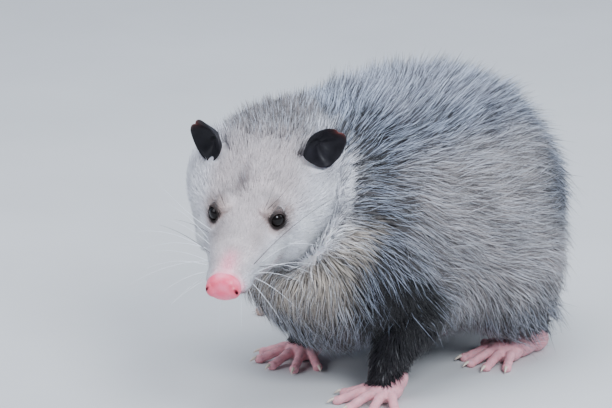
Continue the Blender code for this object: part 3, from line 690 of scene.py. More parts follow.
def make_head_skin():
    """The head's skin with lips, mouth and open lids, and the line of the mouth."""
    head = fuse("head_skin", head_shells(), *HEAD_MELT)
    path = mouth_line(tree_of(head))
    step = np.arange(MOUTH_POINTS)
    taper = np.minimum(1.0, 0.35 + np.minimum(step, step[::-1]) / 9.0)
    boolean(head, solid("lips", [swept(path, LIP_RADIUS * taper, 16)]), "UNION")
    path = mouth_line(tree_of(head))
    boolean(head, solid("groove", [swept(path, MOUTH_GROOVE * taper, 12)]), "DIFFERENCE")
    for side in (1, -1):
        socket = head_shell(ball(eye_centre(side), [EYE_RADIUS + 0.05] * 3, 28, 40, eye_axes(side)))
        boolean(head, solid("socket", [socket]), "DIFFERENCE")
        boolean(head, solid("opening", [lid_opening(side)]), "DIFFERENCE")
    return head, path


def make_skin():
    """One closed skin over the whole animal, and the line of its mouth."""
    skin, path = make_head_skin()
    rear = head_shell(loft(head_rows(HEAD_TUCK)[HEAD_REAR_ROW:], 30, 48))
    boolean(skin, fuse("trunk_skin", [*trunk_shells(SKIN_SHARE), rear], *TRUNK_MELT), "UNION")
    for fore_and_hind in zip(*leg_shells()):
        for shell in fore_and_hind:
            boolean(skin, solid("leg_skin", [shell]), "UNION")
    for name, side, at, palm, toes in feet():
        foot = flattened_at_floor(fuse(name, foot_shells(side, at, palm, toes)[0], *FOOT_MELT))
        boolean(skin, foot, "UNION")
    tail = flattened_at_floor(solid("tail_skin", [tube(tail_rows(), 28)]))
    boolean(skin, tail, "UNION")
    skin.name = skin.data.name = "skin"
    return skin, path


# Regions of the skin, by the shells that each point lies nearest.
REGIONS = ("head", "trunk", "foreleg", "hindleg", "foot", "tail")


def region_trees():
    """A tree of each region's shells, in the order of the regions."""
    soles = []
    for _, side, at, palm, toes in feet():
        soles += foot_shells(side, at, palm, toes)[0]
    tail = [tube(tail_rows(), 16)]
    listed = (head_shells(), trunk_shells(SKIN_SHARE), *leg_shells(), soles, tail)
    return [tree_of_shells(shells) for shells in listed]


def nearest_region(points, trees):
    return np.argmin([gaps_to(tree, points) for tree in trees], axis=0)


def is_in(region, *names):
    """True where the region is one of those named."""
    return np.isin(region, [REGIONS.index(name) for name in names])


HEAD_TREE = tree_of_shells(head_shells())
MOUTH_TREE = tree_of_points(mouth_line(HEAD_TREE))


def head_gap(points):
    return gaps_to(HEAD_TREE, points)


# Noise that is the same on skin and coat: sums of waves in seeded directions.
class Waves:
    """Smooth noise from -1 to 1, of about the given wavelength in millimetres."""

    def __init__(self, seed, wavelength, count=12):
        draw = np.random.default_rng(seed)
        self.turns = unit(draw.normal(size=(count, 3))) * (2 * math.pi / wavelength)
        self.turns *= draw.uniform(0.6, 1.6, (count, 1))
        self.phases = draw.uniform(0, 2 * math.pi, count)

    def __call__(self, points):
        total = np.sin(points @ self.turns.T + self.phases).sum(axis=1)
        return np.clip(total / math.sqrt(len(self.phases)) / 1.4, -1.0, 1.0)


BROAD, PATCHY, FINE = Waves(1, 90.0), Waves(2, 34.0), Waves(3, 12.0)


def around(points, centre, radii):
    """1 at a centre on either side of the body, fading to 0 at about the radii and beyond."""
    both = []
    for side in (1, -1):
        away = (points - np.array(mirrored(centre, side))) / np.asarray(radii, float)
        both.append(np.exp(-1.6 * (away**2).sum(axis=1)))
    return np.maximum(*both)


# Colours of coat, skin and nose, linear.
WHITE_HAIR = (0.78, 0.80, 0.88)
BLUISH = (0.64, 0.73, 0.92)
FACE_WHITE = (0.90, 0.90, 0.96)
FACE_BEIGE = (0.50, 0.40, 0.38)
EYE_TAN = (0.24, 0.14, 0.10)
CREAM = (0.62, 0.54, 0.46)
TAN = (0.47, 0.425, 0.42)
BACK_GREY = (0.13, 0.13, 0.155)
RUMP_GREY = (0.042, 0.042, 0.052)
GRIZZLE = (0.20, 0.18, 0.18)
DARK = (0.030, 0.029, 0.034)
SOOT = (0.012, 0.011, 0.014)
UMBER = (0.010, 0.006, 0.005)
# The lips' own darker skin, with painted shade along the mouth's crease.
LIP_AND_MOUTH_SHADE = (0.22, 0.10, 0.09)
PINK = (0.78, 0.37, 0.41)
NOSE_PINK = (0.86, 0.10, 0.19)
NOSE_PALE = (0.92, 0.30, 0.40)
PALE_PINK = (0.86, 0.36, 0.44)
TAIL_PALE = (0.60, 0.44, 0.38)
# Painted shade: the dark of the trunk's underside, where the light from above doesn't reach.
UNDERSIDE_PAINTED_SHADE = (0.10, 0.095, 0.10)
# Painted shade on the lower chest.
CHEST_PAINTED_SHADE = (0.10, 0.088, 0.082)
SMUDGE = (0.07, 0.05, 0.05)
BROW_GREY = (0.30, 0.25, 0.25)
EYE_BROWN = (0.20, 0.14, 0.13)
EAR_RED = (0.30, 0.07, 0.05)
NOSTRIL_RED = (0.66, 0.07, 0.11)
NOSTRIL_DARK = (0.30, 0.03, 0.05)

# Places of the coat's markings, given for the left side: centre and radii.
BACK_STREAK = ((49.0, 44.0, 181.0), (13.0, 56.0, 10.0))
BLACK_SHOULDER = ((60.0, -2.0, 66.0), (34.0, 36.0, 34.0))
# More pale-tipped guard hairs here: the coat's own frost, raised into a painted highlight where the
# light catches the ruff and nape.
FROST_AND_PAINTED_HIGHLIGHT = (((66.0, -20.0, 148.0), (22.0, 24.0, 38.0)), ((12.0, -14.0, 200.0), (30.0, 14.0, 14.0)))
# The same in the head's own frame, and the shades round an eye from its middle, with their strength.
EAR_PATCH = ((37.0, -67.0, 37.0), (12.0, 11.0, 11.0))
EYE_SHADES = (
    ((-6.0, 6.5, -3.0), (3.6, 5.0, 3.6), 0.9),
    ((4.5, -1.0, 9.5), (5.0, 6.5, 5.0), 0.55),
    ((-8.5, 20.0, -7.0), (4.5, 13.0, 6.0), 0.55),
)


def hump(values, centre, width):
    """1 at a centre, fading to 0 on both sides over about the width."""
    return np.exp(-(((values - centre) / width) ** 2))


def ear_patch(local):
    """The white patch of fur above and behind each ear, in the head's frame."""
    return np.clip(1.8 * around(local, *EAR_PATCH), 0.0, 0.95)


def crown_share(local, gap):
    """1 over the soft, grizzled crown between the ears, by the place in the head's frame."""
    share = (1.0 - smooth_step(15.0, 25.0, gap)) * smooth_step(6.0, 24.0, local[:, 2])
    return share * (1.0 - smooth_step(24.0, 44.0, np.abs(local[:, 0])))


def body_colours(points, normals, noise):
    """Tint of the coat over the trunk, from the back down to belly and chest, with painted shade low on
    the trunk and on the lower chest.
    """
    x, y, z = points.T
    top = smooth_step(150.0, 178.0, z + 5.0 * noise)
    tint = blend(np.broadcast_to(TAN, points.shape), BACK_GREY, top)
    tint = blend(tint, DARK, 0.85 * around(points, *BACK_STREAK))
    rump = smooth_step(108.0, 142.0, y + 6.0 * noise) * smooth_step(76.0, 108.0, z)
    tint = blend(tint, RUMP_GREY, 0.85 * rump)
    neck = 1.0 - smooth_step(-16.0, 18.0, y + 8.0 * noise - 0.10 * (z - 130.0))
    tint = blend(tint, DARK, 0.88 * neck)
    # Painted shade: the coat darkens towards the underside of the trunk.
    low = 1.0 - smooth_step(38.0, 66.0, z + 6.0 * noise)
    tint = blend(tint, UNDERSIDE_PAINTED_SHADE, 0.85 * low)
    front = smooth_step(-0.1, 0.35, -normals[:, 1])
    front *= 1.0 - smooth_step(44.0, 62.0, np.abs(x + 4.0))
    chest = front * (1.0 - smooth_step(120.0, 142.0, z))
    tint = blend(tint, CREAM, 0.9 * chest)
    # Painted shade: the lower part of the chest is darkened towards the floor.
    tint = blend(tint, CHEST_PAINTED_SHADE, 0.9 * chest * (1.0 - smooth_step(50.0, 84.0, z)))
    return blend(tint, SOOT, np.clip(2.3 * around(points, *BLACK_SHOULDER), 0, 1))


def trunk_colours(points, normals):
    """Tint of the trunk's coat, with grizzled crown, cream throat and white cheek beside the head."""
    noise, fine = PATCHY(points), FINE(points)
    tint = body_colours(points, normals, noise)
    gap, local = head_gap(points), in_head(points)
    tint = blend(tint, GRIZZLE, 0.9 * crown_share(local, gap + 4.0 * noise))
    throat = (1.0 - smooth_step(26.0, 40.0, gap)) * smooth_step(16.0, 30.0, -local[:, 2])
    tint = blend(tint, CREAM, 0.9 * throat)
    edge = 21.0 - 10.0 * smooth_step(-30.0, 6.0, local[:, 2])
    cheek = 1.0 - smooth_step(-14.0, 5.0, gap - edge + 4.0 * fine)
    cheek *= 1.0 - smooth_step(10.0, 24.0, local[:, 2])
    cheek *= smooth_step(-106.0, -84.0, local[:, 1])
    tint = blend(tint, FACE_WHITE, np.maximum(cheek, ear_patch(local)))
    return tint * (1.0 + 0.20 * noise + 0.15 * fine)[:, None]


def eye_colours(tint, local, side):
    """The tint with a tan halo, a dark ring and brown shades round one eye."""
    axis = eye_axes(side)[:, 2]
    to_eye = local - eye_centre(side)
    out = to_eye @ axis
    off = np.linalg.norm(to_eye - out[:, None] * axis, axis=1)
    halo = (1.0 - smooth_step(7.0, 14.0, off)) * (out > -2.0) * (out < 18.0)
    tint = blend(tint, EYE_TAN, 0.60 * halo)
    ring = (1.0 - smooth_step(6.0, 7.8, off)) * (out > 0) * (out < 16.0)
    tint = blend(tint, UMBER, 0.99 * ring)
    for offset, radii, strength in EYE_SHADES:
        away = (to_eye - np.array(mirrored(offset, side))) / radii
        tint = blend(tint, EYE_BROWN, strength * np.exp(-(away**2).sum(axis=1)))
    return tint


def head_colours(points):
    """Tint of the face, in the head's own frame."""
    local = in_head(points)
    x, y, z = local.T
    noise = PATCHY(points)
    tint = np.broadcast_to(FACE_WHITE, points.shape)
    upper = smooth_step(-15.0, 3.0, z + 0.15 * np.maximum(y, 0.0))
    upper *= 1.0 - 0.75 * smooth_step(20.0, 38.0, np.abs(x) + 3.0 * noise)
    tint = blend(tint, FACE_BEIGE, 0.74 * upper)
    crown = smooth_step(34.0, 70.0, -y + 6.0 * noise) * smooth_step(-4.0, 18.0, z)
    crown *= 1.0 - 0.8 * smooth_step(24.0, 40.0, np.abs(x))
    tint = blend(tint, GRIZZLE, 0.55 * crown)
    smudge = hump(x, -5.5, 3.8) * hump(y, -17.0, 7.5) * (z > 0)
    tint = blend(tint, SMUDGE, 0.95 * smudge)
    trail = hump(x, -6.0, 2.6) * smooth_step(-46.0, -24.0, y)
    trail *= (1.0 - smooth_step(-14.0, 0.0, y)) * (z > 0)
    tint = blend(tint, BROW_GREY, 0.45 * trail)
    rear = smooth_step(70.0, 92.0, -y + 6.0 * noise)
    tint = blend(tint, GRIZZLE, 0.9 * rear)
    tint = blend(tint, FACE_WHITE, ear_patch(local))
    bridge = hump(x, 0.0, 5.5) * smooth_step(32.0, 47.0, y) * (z > -12.0)
    tint = blend(tint, PALE_PINK, 0.9 * np.maximum(bridge, smooth_step(51.0, 55.0, y)))
    for side in (1, -1):
        tint = eye_colours(tint, local, side)
    _, to_mouth = nearest_listed(MOUTH_TREE, points)
    # A band along the mouth: the lips' own darker skin and painted shade in the mouth's crease.
    lips = (1.0 - smooth_step(0.9, 2.4, to_mouth)) * smooth_step(4.0, 16.0, y)
    tint = blend(tint, LIP_AND_MOUTH_SHADE, 0.85 * lips)
    return tint * (1.0 + 0.08 * noise + 0.09 * FINE(points))[:, None]


def tail_arc(points):
    """How far along the tail each point lies, in millimetres, and the tail's direction there."""
    line = tail_rows()[:, :3]
    arc = np.concatenate([[0], np.cumsum(np.linalg.norm(np.diff(line, axis=0), axis=1))])
    nearest, _ = nearest_listed(tree_of_points(line), points)
    return arc[nearest], unit(np.gradient(line, axis=0))[nearest]


def markings(points, normals, region):
    """The tint of skin and coat alike, from the place on the body."""
    tint = trunk_colours(points, normals)
    face = is_in(region, "head")
    tint[face] = head_colours(points[face])
    leg = is_in(region, "foreleg", "hindleg")
    tint[leg] = np.array(SOOT) * (1.0 + 0.25 * FINE(points[leg]))[:, None]
    foot = is_in(region, "foot")
    high = smooth_step(15.0, 21.0, points[foot, 2] + 1.5 * FINE(points[foot]))
    tint[foot] = blend(np.broadcast_to(PINK, points[foot].shape), SOOT, high)
    tail = is_in(region, "tail")
    if tail.any():
        arc, _ = tail_arc(points[tail])
        pale = smooth_step(TAIL_DARK - 25.0, TAIL_DARK + 25.0, arc + 8.0 * FINE(points[tail]))
        tint[tail] = blend(np.broadcast_to(DARK, points[tail].shape), TAIL_PALE, pale)
    return np.clip(tint, 0.0, 1.0)


def lie_of_coat(points, normals, region):
    """Which way the hair lies at each point of the skin."""
    ways = np.zeros_like(points)
    low = np.clip((95.0 - points[:, 2]) / 60.0, 0.0, 1.0)
    flank = 1.0 - np.abs(normals[:, 2])
    rump, chest = np.maximum(0.0, normals[:, 1]), np.maximum(0.0, -normals[:, 1])
    ways[:, 1] = 1.0 - 0.7 * low * flank - 0.6 * chest
    ways[:, 2] = -0.25 * flank - 1.5 * low - 1.1 * rump - 1.2 * chest
    from_nose = unit(points - on_head([(0.0, NOSE_FORWARD + 6.0, -NOSE_DROP)]))
    near = (1.0 - smooth_step(4.0, 34.0, head_gap(points)))[:, None]
    ways = unit(ways) * (1.0 - near) + from_nose * near
    ways[is_in(region, "foreleg", "hindleg")] = (0.0, 0.25, -1.0)
    ways[is_in(region, "foot")] = (0.0, -0.8, -0.6)
    tail = is_in(region, "tail")
    if tail.any():
        ways[tail] = tail_arc(points[tail])[1]
    return ways


def set_tint(mesh, tints):
    """Stores a colour for each vertex where the materials read it."""
    layer = mesh.color_attributes.new("tint", "FLOAT_COLOR", "POINT")
    rgba = np.ones((len(mesh.vertices), 4), np.float32)
    rgba[:, :3] = tints
    layer.data.foreach_set("color", rgba.ravel())


# Hair: closed, three-sided, tapered tufts that walk over the skin along the lie of the coat.
class Skin:
    """The finished skin as arrays: points, normals, regions, areas and a tree."""

    def __init__(self, obj, trees):
        self.points = points_of(obj)
        self.faces = triangles_of(obj)
        self.normals = unit(read_rows(obj.data.vertices, "normal", 3))
        self.region = nearest_region(self.points, trees)
        self.tree = BVHTree.FromPolygons(self.points.tolist(), self.faces.tolist())
        a, b, c = (self.points[self.faces[:, k]] for k in range(3))
        self.areas = np.linalg.norm(np.cross(b - a, c - a), axis=1) / 2

    def scatter(self, wanted, density, count, draw):
        """Seeded roots on the wanted faces: points, normals and regions."""
        weights = self.areas * wanted * density
        picked = draw.choice(len(self.faces), count, p=weights / weights.sum())
        corners = self.faces[picked]
        share = draw.dirichlet((1, 1, 1), count)[:, :, None]
        points = (self.points[corners] * share).sum(axis=1)
        normals = unit((self.normals[corners] * share).sum(axis=1))
        return points, normals, self.region[corners[:, 0]]


def walk(skin, roots, normals, ways, lengths, rings):
    """Places over the skin along each hair's way, with the normals there."""
    places, ups = [roots], [normals]
    here, up = roots, normals
    way = unit(ways - up * (ways * up).sum(axis=1, keepdims=True))
    for _ in range(rings - 1):
        ahead = here + way * (lengths / (rings - 1))[:, None]
        hits = [skin.tree.find_nearest(p)[:2] for p in ahead.tolist()]
        here = np.array([h[0] for h in hits])
        under = np.array([h[1] for h in hits])
        up = unit(up * 0.5 + under * 0.5)
        way = unit(way - up * (way * up).sum(axis=1, keepdims=True))
        places.append(here)
        ups.append(up)
    return np.stack(places, axis=1), np.stack(ups, axis=1)


def hair_lines(skin, roots, normals, ways, lengths, rises, rings, bends, erect):
    """Points along each hair from just under the skin up to its tip."""
    places, ups = walk(skin, roots, normals, ways, lengths, rings)
    share = np.linspace(0.0, 1.0, rings)
    curve = (1.6 - 0.6 * erect)[:, None]
    grown = 1.0 - (1.0 - share[None, :]) ** curve
    heights = -HAIR_SINK + (HAIR_SINK + rises[:, None]) * grown
    along = unit(np.gradient(places, axis=1))
    sideways = np.cross(ups, along)
    lines = places + ups * heights[:, :, None]
    lines += sideways * (bends[:, None] * share[None, :] ** 2)[:, :, None]
    return lines, ups


def clumped(lines, spacing, pull, draw):
    """Draws the tips of neighbouring hairs together into locks."""
    roots = lines[:, 0]
    order = draw.permutation(len(roots))
    cell = np.floor(roots / spacing).astype(int)
    seen, leaders = set(), []
    for index in order:
        key = tuple(cell[index])
        if key not in seen:
            seen.add(key)
            leaders.append(index)
    tree = KDTree(len(leaders))
    for index in leaders:
        tree.insert(roots[index], int(index))
    tree.balance()
    chosen = np.array([tree.find(p)[1] for p in roots.tolist()])
    share = np.linspace(0.0, 1.0, lines.shape[1]) ** 1.3
    towards = lines[chosen] - lines
    return lines + towards * (pull[:, None] * share[None, :])[:, :, None]


def hair_points(hairs, profile):
    """Three corners round each hair at every place along it but the last, and then its tip."""
    lines = hairs["lines"]
    along = unit(np.gradient(lines, axis=1))
    across = unit(np.cross(along, hairs["ups"]))
    top = np.cross(across, along)
    wide = hairs["widths"][:, None, None] * np.asarray(profile)[None, :-1, None]
    body, aside = lines[:, :-1], across[:, :-1] * wide / 2
    corners = np.stack([body - aside, body + aside, body + top[:, :-1] * wide * 0.55], axis=2)
    return np.concatenate([corners.reshape(len(lines), -1, 3), lines[:, -1:]], axis=1)


def hair_faces(count, rings):
    """The triangles of all hairs, each closed at its root."""
    per_hair = 3 * (rings - 1) + 1
    pattern = []
    for ring in range(rings - 2):
        for k in range(3):
            a, b = ring * 3 + k, ring * 3 + (k + 1) % 3
            pattern += [(a, b, b + 3), (a, b + 3, a + 3)]
    last, tip = (rings - 2) * 3, per_hair - 1
    pattern += [(last + k, last + (k + 1) % 3, tip) for k in range(3)]
    pattern.append((2, 1, 0))
    starts = np.arange(count) * per_hair
    return (np.array(pattern)[None] + starts[:, None, None]).reshape(-1, 3)


def set_bake_map(mesh, spots):
    """Gives every corner of a mesh its vertex's place in the bake map."""
    corner = read_rows(mesh.loops, "vertex_index", 1, np.int32)[:, 0]
    layer = mesh.uv_layers.new(name="OFBake")
    layer.data.foreach_set("uv", spots.reshape(-1, 2)[corner].astype(np.float32).ravel())


def hair_mesh(name, hairs, material, profile):
    """One joined mesh of closed hairs, with colours along them and a patch of the bake map each."""
    count, rings = hairs["lines"].shape[:2]
    points = hair_points(hairs, profile)
    per_hair = points.shape[1]
    mesh = mesh_from_arrays(name, points.reshape(-1, 3), hair_faces(count, rings))
    share = np.repeat(np.arange(rings), [3] * (rings - 1) + [1]) / (rings - 1)
    fade = np.broadcast_to(share**TIP_FADE, (count, per_hair))
    tint = blend(hairs["tints"][:, None, :], hairs["tips"][:, None, :], fade)
    set_tint(mesh, tint.reshape(-1, 3))
    offsets = np.column_stack([np.tile((0.0, 1.0, 0.5), rings)[:per_hair], share])
    set_bake_map(mesh, hairs["patch"][:, None, :] + (offsets[None] - 0.5) * OFBAKE_PATCH)
    return add_object(name, mesh, material)


def unwrapped(points, head):
    """Each root's place on an unwrap of the skin: round the head's or the body's axis and along it."""
    local = in_head(points)
    turn = np.arctan2(local[:, 0], local[:, 2] + 15.0) / (2 * math.pi) + 0.5
    on_face = np.column_stack([turn, (local[:, 1] + 110.0) / 180.0])
    turn = np.arctan2(points[:, 0] + 4.0, points[:, 2] - 110.0) / (2 * math.pi) + 0.5
    on_body = np.column_stack([turn, (points[:, 1] + 80.0) / 300.0])
    spots = np.where(head[:, None], on_face, on_body)
    return 0.01 + 0.98 * np.clip(spots, 0.0, 1.0)


def in_pieces(name, hairs, material, profile):
    """The hairs as pieces that each stay under the limit of triangles, parted from front to back."""
    lines = hairs["lines"]
    triangles = 6 * (lines.shape[1] - 2) + 4
    order = np.argsort(lines[:, 0, 1], kind="stable")
    parts = math.ceil(len(order) * triangles / PIECE_TRIANGLES)
    made = []
    for number, chosen in enumerate(np.array_split(order, parts)):
        label = name if parts == 1 else f"{name}_{number + 1}"
        chunk = {key: value[chosen] for key, value in hairs.items()}
        made.append(hair_mesh(label, chunk, material, profile))
    return made


def off_eye(local, side):
    """True for hairs that neither touch an eye nor cross in front of it."""
    between = (local[:, :-1] + local[:, 1:]) / 2
    to_eye = np.concatenate([local, between], axis=1) - eye_centre(side)
    away = np.linalg.norm(to_eye, axis=2)
    facing = (to_eye @ eye_axes(side)[:, 2]) / away
    before_eye = (facing > 0.70) & (away < EYE_RADIUS + 8.0)
    return ~((away < EYE_RADIUS + 0.5) | before_eye).any(axis=1)


def off_ear(local, side):
    """True for hairs that keep out of an ear's cup."""
    cup = ear_frame(side)
    axes = np.column_stack([cup["across"], cup["axis"], cup["facing"]])
    across, along, out = np.moveaxis((local - cup["middle"]) @ axes, -1, 0)
    inside = (across / (EAR_WIDTH / 2)) ** 2 + (along / (EAR_LENGTH / 2)) ** 2 < 1.0
    inside &= (out > -EAR_CUP - 3.0) & (out < 5.0)
    return ~inside.any(axis=1)


def clear_of_features(lines, mouth):
    """True for hairs that keep off the floor, eyes, ear cups, nose and lips."""
    keep = lines[:, :, 2].min(axis=1) > OFF_FLOOR
    local = in_head(lines.reshape(-1, 3)).reshape(lines.shape)
    for side in (1, -1):
        keep &= off_eye(local, side) & off_ear(local, side)
    around_nose = (NOSE_WIDTH * 0.54, NOSE_DEPTH * 0.62, NOSE_HEIGHT * 0.56)
    to_nose = (local[:, 0] - NOSE_MIDDLE) / around_nose
    keep &= (to_nose**2).sum(axis=1) > 1.0
    _, to_mouth = nearest_listed(tree_of_points(mouth), lines[:, 0])
    return keep & (to_mouth > OFF_LIPS)


def turned(ways, normals, angles):
    """The ways turned about the normals, in radians."""
    flat = unit(ways - normals * (ways * normals).sum(axis=1, keepdims=True))
    side = np.cross(normals, flat)
    return flat * np.cos(angles)[:, None] + side * np.sin(angles)[:, None]


def grow(skin, wanted, density, draw, style, mouth):
    """One kind of hair over the wanted faces. style gives its sizes and what shapes its colours."""
    count, rings = style["count"], style["rings"]
    roots, normals, region = skin.scatter(wanted, density, count, draw)
    ways = lie_of_coat(roots, normals, region)
    swirl = 0.30 * BROAD(roots) + 0.28 * PATCHY(roots + 40.0)
    ways = turned(ways, normals, swirl + draw.normal(0.0, style["stray"], count))
    length, rise, share, erect = style["reach"](roots, normals)
    size = draw.uniform(0.72, 1.15, count) * (1.0 + 0.10 * (draw.random(count) < 0.07))
    lengths = length * size * draw.uniform(0.85, 1.15, count)
    rises = rise * size * draw.uniform(0.85, 1.15, count)
    bends = draw.normal(0.0, 0.10, count) * lengths
    lines, ups = hair_lines(skin, roots, normals, ways, lengths, rises, rings, bends, erect)
    if style["clump"]:
        lines = clumped(lines, style["clump"], draw.uniform(*style["pull"], count), draw)
    seen = lines[:, 1] if rings > 2 else roots
    tints, tips = style["colours"](seen, normals, region, draw)
    hairs = {
        "lines": lines,
        "ups": ups,
        "widths": style["width"] * share * draw.uniform(0.7, 1.25, count),
        "tints": np.clip(tints, 0, 1),
        "tips": np.clip(tips, 0, 1),
        "patch": unwrapped(roots, is_in(region, "head")),
    }
    keep = clear_of_features(lines, mouth)
    return {key: value[keep] for key, value in hairs.items()}


# Reach of each kind of hair: length, rise over the skin, share of the width and how erect it stands.
# Colours of each kind: at the root and at the tip.
def erectness(roots, normals):
    """How steeply the trunk's coat stands: most on the back and nape, least on the belly."""
    z = roots[:, 2]
    top = smooth_step(0.25, 0.95, normals[:, 2]) * smooth_step(120.0, 165.0, z)
    rump = 0.55 * smooth_step(0.2, 0.9, normals[:, 1])
    ruff = 0.45 * (1.0 - smooth_step(8.0, 40.0, head_gap(roots)))
    low = smooth_step(40.0, 90.0, z)
    return np.clip(0.12 + np.maximum(np.maximum(0.9 * top, rump), ruff) * low, 0.0, 1.0)


def collar(roots):
    """0 beside the head's skin, rising to 1 where the coat has its full length."""
    return smooth_step(2.0, 30.0, head_gap(roots))


def coat_reach(roots, normals):
    """The trunk's underfur follows the coat's depth."""
    erect, full = erectness(roots, normals), collar(roots)
    length = 26.0 * (1.0 - 0.5 * erect) * (0.55 + 0.45 * full)
    rise = 11.5 * (1.0 + 0.6 * erect) * (0.55 + 0.45 * full)
    return length, rise, 0.7 + 0.3 * full, erect


def guard_reach(roots, normals):
    erect, full = erectness(roots, normals), collar(roots)
    length = 40.0 * (1.0 - 0.62 * erect) * (0.48 + 0.52 * full)
    rise = 16.0 * (1.0 + 0.68 * erect) * (0.50 + 0.50 * full)
    return length, rise, 0.8 + 0.2 * full, erect


def standing_reach(roots, normals):
    """Long single hairs that stand out of the coat."""
    full = collar(roots)
    count = len(roots)
    return 19.0 * full + 6.0, 18.0 * full + 8.0, np.ones(count), np.full(count, 0.9)


def fur_depth(roots):
    """Depth of the head's short fur, from the rows of the head."""
    table = np.array([(d[0], d[5]) for d in HEAD_ROWS])[::-1]
    return np.interp(in_head(roots)[:, 1], table[:, 0], table[:, 1])


def face_reach(roots, normals):
    depth = fur_depth(roots)
    local = in_head(roots)
    low = smooth_step(16.0, 32.0, -local[:, 2]) * (1.0 - smooth_step(4.0, 26.0, local[:, 1]))
    length = 2.0 + depth * 1.05 + 9.0 * low
    return length, depth * 0.62 + 0.3 + 2.0 * low, 0.55 + 0.09 * depth, np.full(len(roots), 0.3)


def ruff_reach(roots, normals):
    depth = fur_depth(roots)
    local = in_head(roots)
    beside = (1.0 - smooth_step(-2.0, 14.0, local[:, 2])) * smooth_step(16.0, 42.0, -local[:, 1])
    ruff = np.maximum(smooth_step(28.0, 64.0, -local[:, 1]), beside)
    low = smooth_step(8.0, 24.0, -local[:, 2]) * (1.0 - ruff)
    length = 3.0 + depth * 1.15 + 10.0 * ruff + 11.0 * low
    return length, depth * (0.8 - 0.2 * ruff) + 2.5 * ruff, 0.7 + 0.3 * ruff, 0.2 + 0.2 * ruff


def leg_reach(roots, normals):
    upper = smooth_step(20.0, 60.0, roots[:, 2])
    return 7.0 + 15.0 * upper, 2.4 + 5.0 * upper, 0.8 + 0.2 * upper, np.full(len(roots), 0.25)


def tail_reach(roots, normals):
    share = 1.0 - tail_arc(roots)[0] / (TAIL_FURRED + 20.0)
    return 8.0 + 22.0 * share, 2.0 + 6.0 * share, np.ones(len(roots)), np.full(len(roots), 0.3)


def varied(tint, draw, amount):
    """Each hair's colour a little lighter or darker than its neighbours'."""
    return tint * (1.0 + draw.normal(0.0, amount, (len(tint), 1)))


def under_colours(roots, normals, region, draw):
    tint = markings(roots, normals, region)
    return varied(tint * 0.70, draw, 0.14), varied(tint * 1.08, draw, 0.20)


def face_hair_colours(roots, normals, region, draw):
    tint = markings(roots, normals, region)
    return varied(tint * 0.82, draw, 0.12), varied(tint * 1.16, draw, 0.14)


def ruff_colours(roots, normals, region, draw):
    """The face's own colours, grizzled with pale tips where the fur is darker."""
    tint = markings(roots, normals, region)
    grey = 1.0 - smooth_step(0.22, 0.62, tint.mean(axis=1))
    pale = 0.8 * grey * (draw.random(len(roots)) < 0.55)
    tips = blend(tint * 1.12, WHITE_HAIR, pale)
    return varied(tint * (0.88 - 0.2 * grey)[:, None], draw, 0.12), varied(tips, draw, 0.14)


def guard_colours(roots, normals, region, draw):
    """Pale tips over a base of the coat's own colour: bluer over the dark parts, few over the black, and
    more where a highlight is painted.
    """
    tint = markings(roots, normals, region)
    brightness = tint.mean(axis=1)
    cool = 1.0 - smooth_step(0.05, 0.30, brightness)
    black = 1.0 - smooth_step(0.016, 0.034, brightness)
    white = blend(np.broadcast_to(WHITE_HAIR, tint.shape), BLUISH, cool)
    # Painted highlight: more pale tips where the light catches the coat, over the coat's own frost.
    frost_and_highlight = np.maximum(*(around(roots, *place) for place in FROST_AND_PAINTED_HIGHLIGHT))
    soft = crown_share(in_head(roots), head_gap(roots))
    kind = draw.random(len(roots))
    dark = kind < (0.38 + 0.18 * cool + 0.36 * black - 0.46 * frost_and_highlight) * (1.0 - 0.3 * soft)
    own = kind > (0.82 + 0.18 * cool) * (1.0 - 0.5 * soft)
    tips = np.where(dark[:, None], tint * 0.40, np.where(own[:, None], tint * 1.35, white))
    base = np.where(dark[:, None], tint * 0.45, blend(tint, white, 0.22 * (1.0 - cool)))
    return varied(base, draw, 0.12), varied(tips, draw, 0.10)


def leg_hair_colours(roots, normals, region, draw):
    tint = markings(roots, normals, region)
    tips = np.where(draw.random((len(roots), 1)) < 0.05, 0.25, tint * 1.3)
    return tint * 0.8, varied(tips, draw, 0.2)


# Width along a hair, by how many places it has.
PROFILES = {2: (1.0, 0.0), 3: (0.85, 1.0, 0.0), 4: (1.0, 0.95, 0.6, 0.0)}
# Kinds of hair: how many, places along each, width, stray from the lie of the coat, spacing and pull of
# the locks they gather in, then their reach, their colours and the finish they belong to.
STYLE_FIELDS = ("count", "rings", "width", "stray", "clump", "pull", "reach", "colours", "slot")
STYLE_ROWS = {
    "underfur": (30000, 3, 1.5, 0.20, 6.0, (0.2, 0.7), coat_reach, under_colours, "grey_fur"),
    "guard": (46000, 3, 0.42, 0.22, 8.0, (0.0, 0.7), guard_reach, guard_colours, "grey_fur"),
    "standing": (4200, 4, 0.40, 0.35, 0.0, (0.0, 0.0), standing_reach, guard_colours, "grey_fur"),
    "face": (50000, 2, 0.62, 0.14, 0.0, (0.0, 0.0), face_reach, face_hair_colours, "white_fur"),
    "ruff": (34000, 3, 0.62, 0.18, 5.0, (0.0, 0.4), ruff_reach, ruff_colours, "white_fur"),
    "leg": (9500, 3, 0.9, 0.14, 4.0, (0.0, 0.4), leg_reach, leg_hair_colours, "black_fur"),
    "tail": (2500, 3, 0.9, 0.14, 4.0, (0.0, 0.4), tail_reach, leg_hair_colours, "dark_tail"),
}
STYLES = {kind: dict(zip(STYLE_FIELDS, row)) for kind, row in STYLE_ROWS.items()}


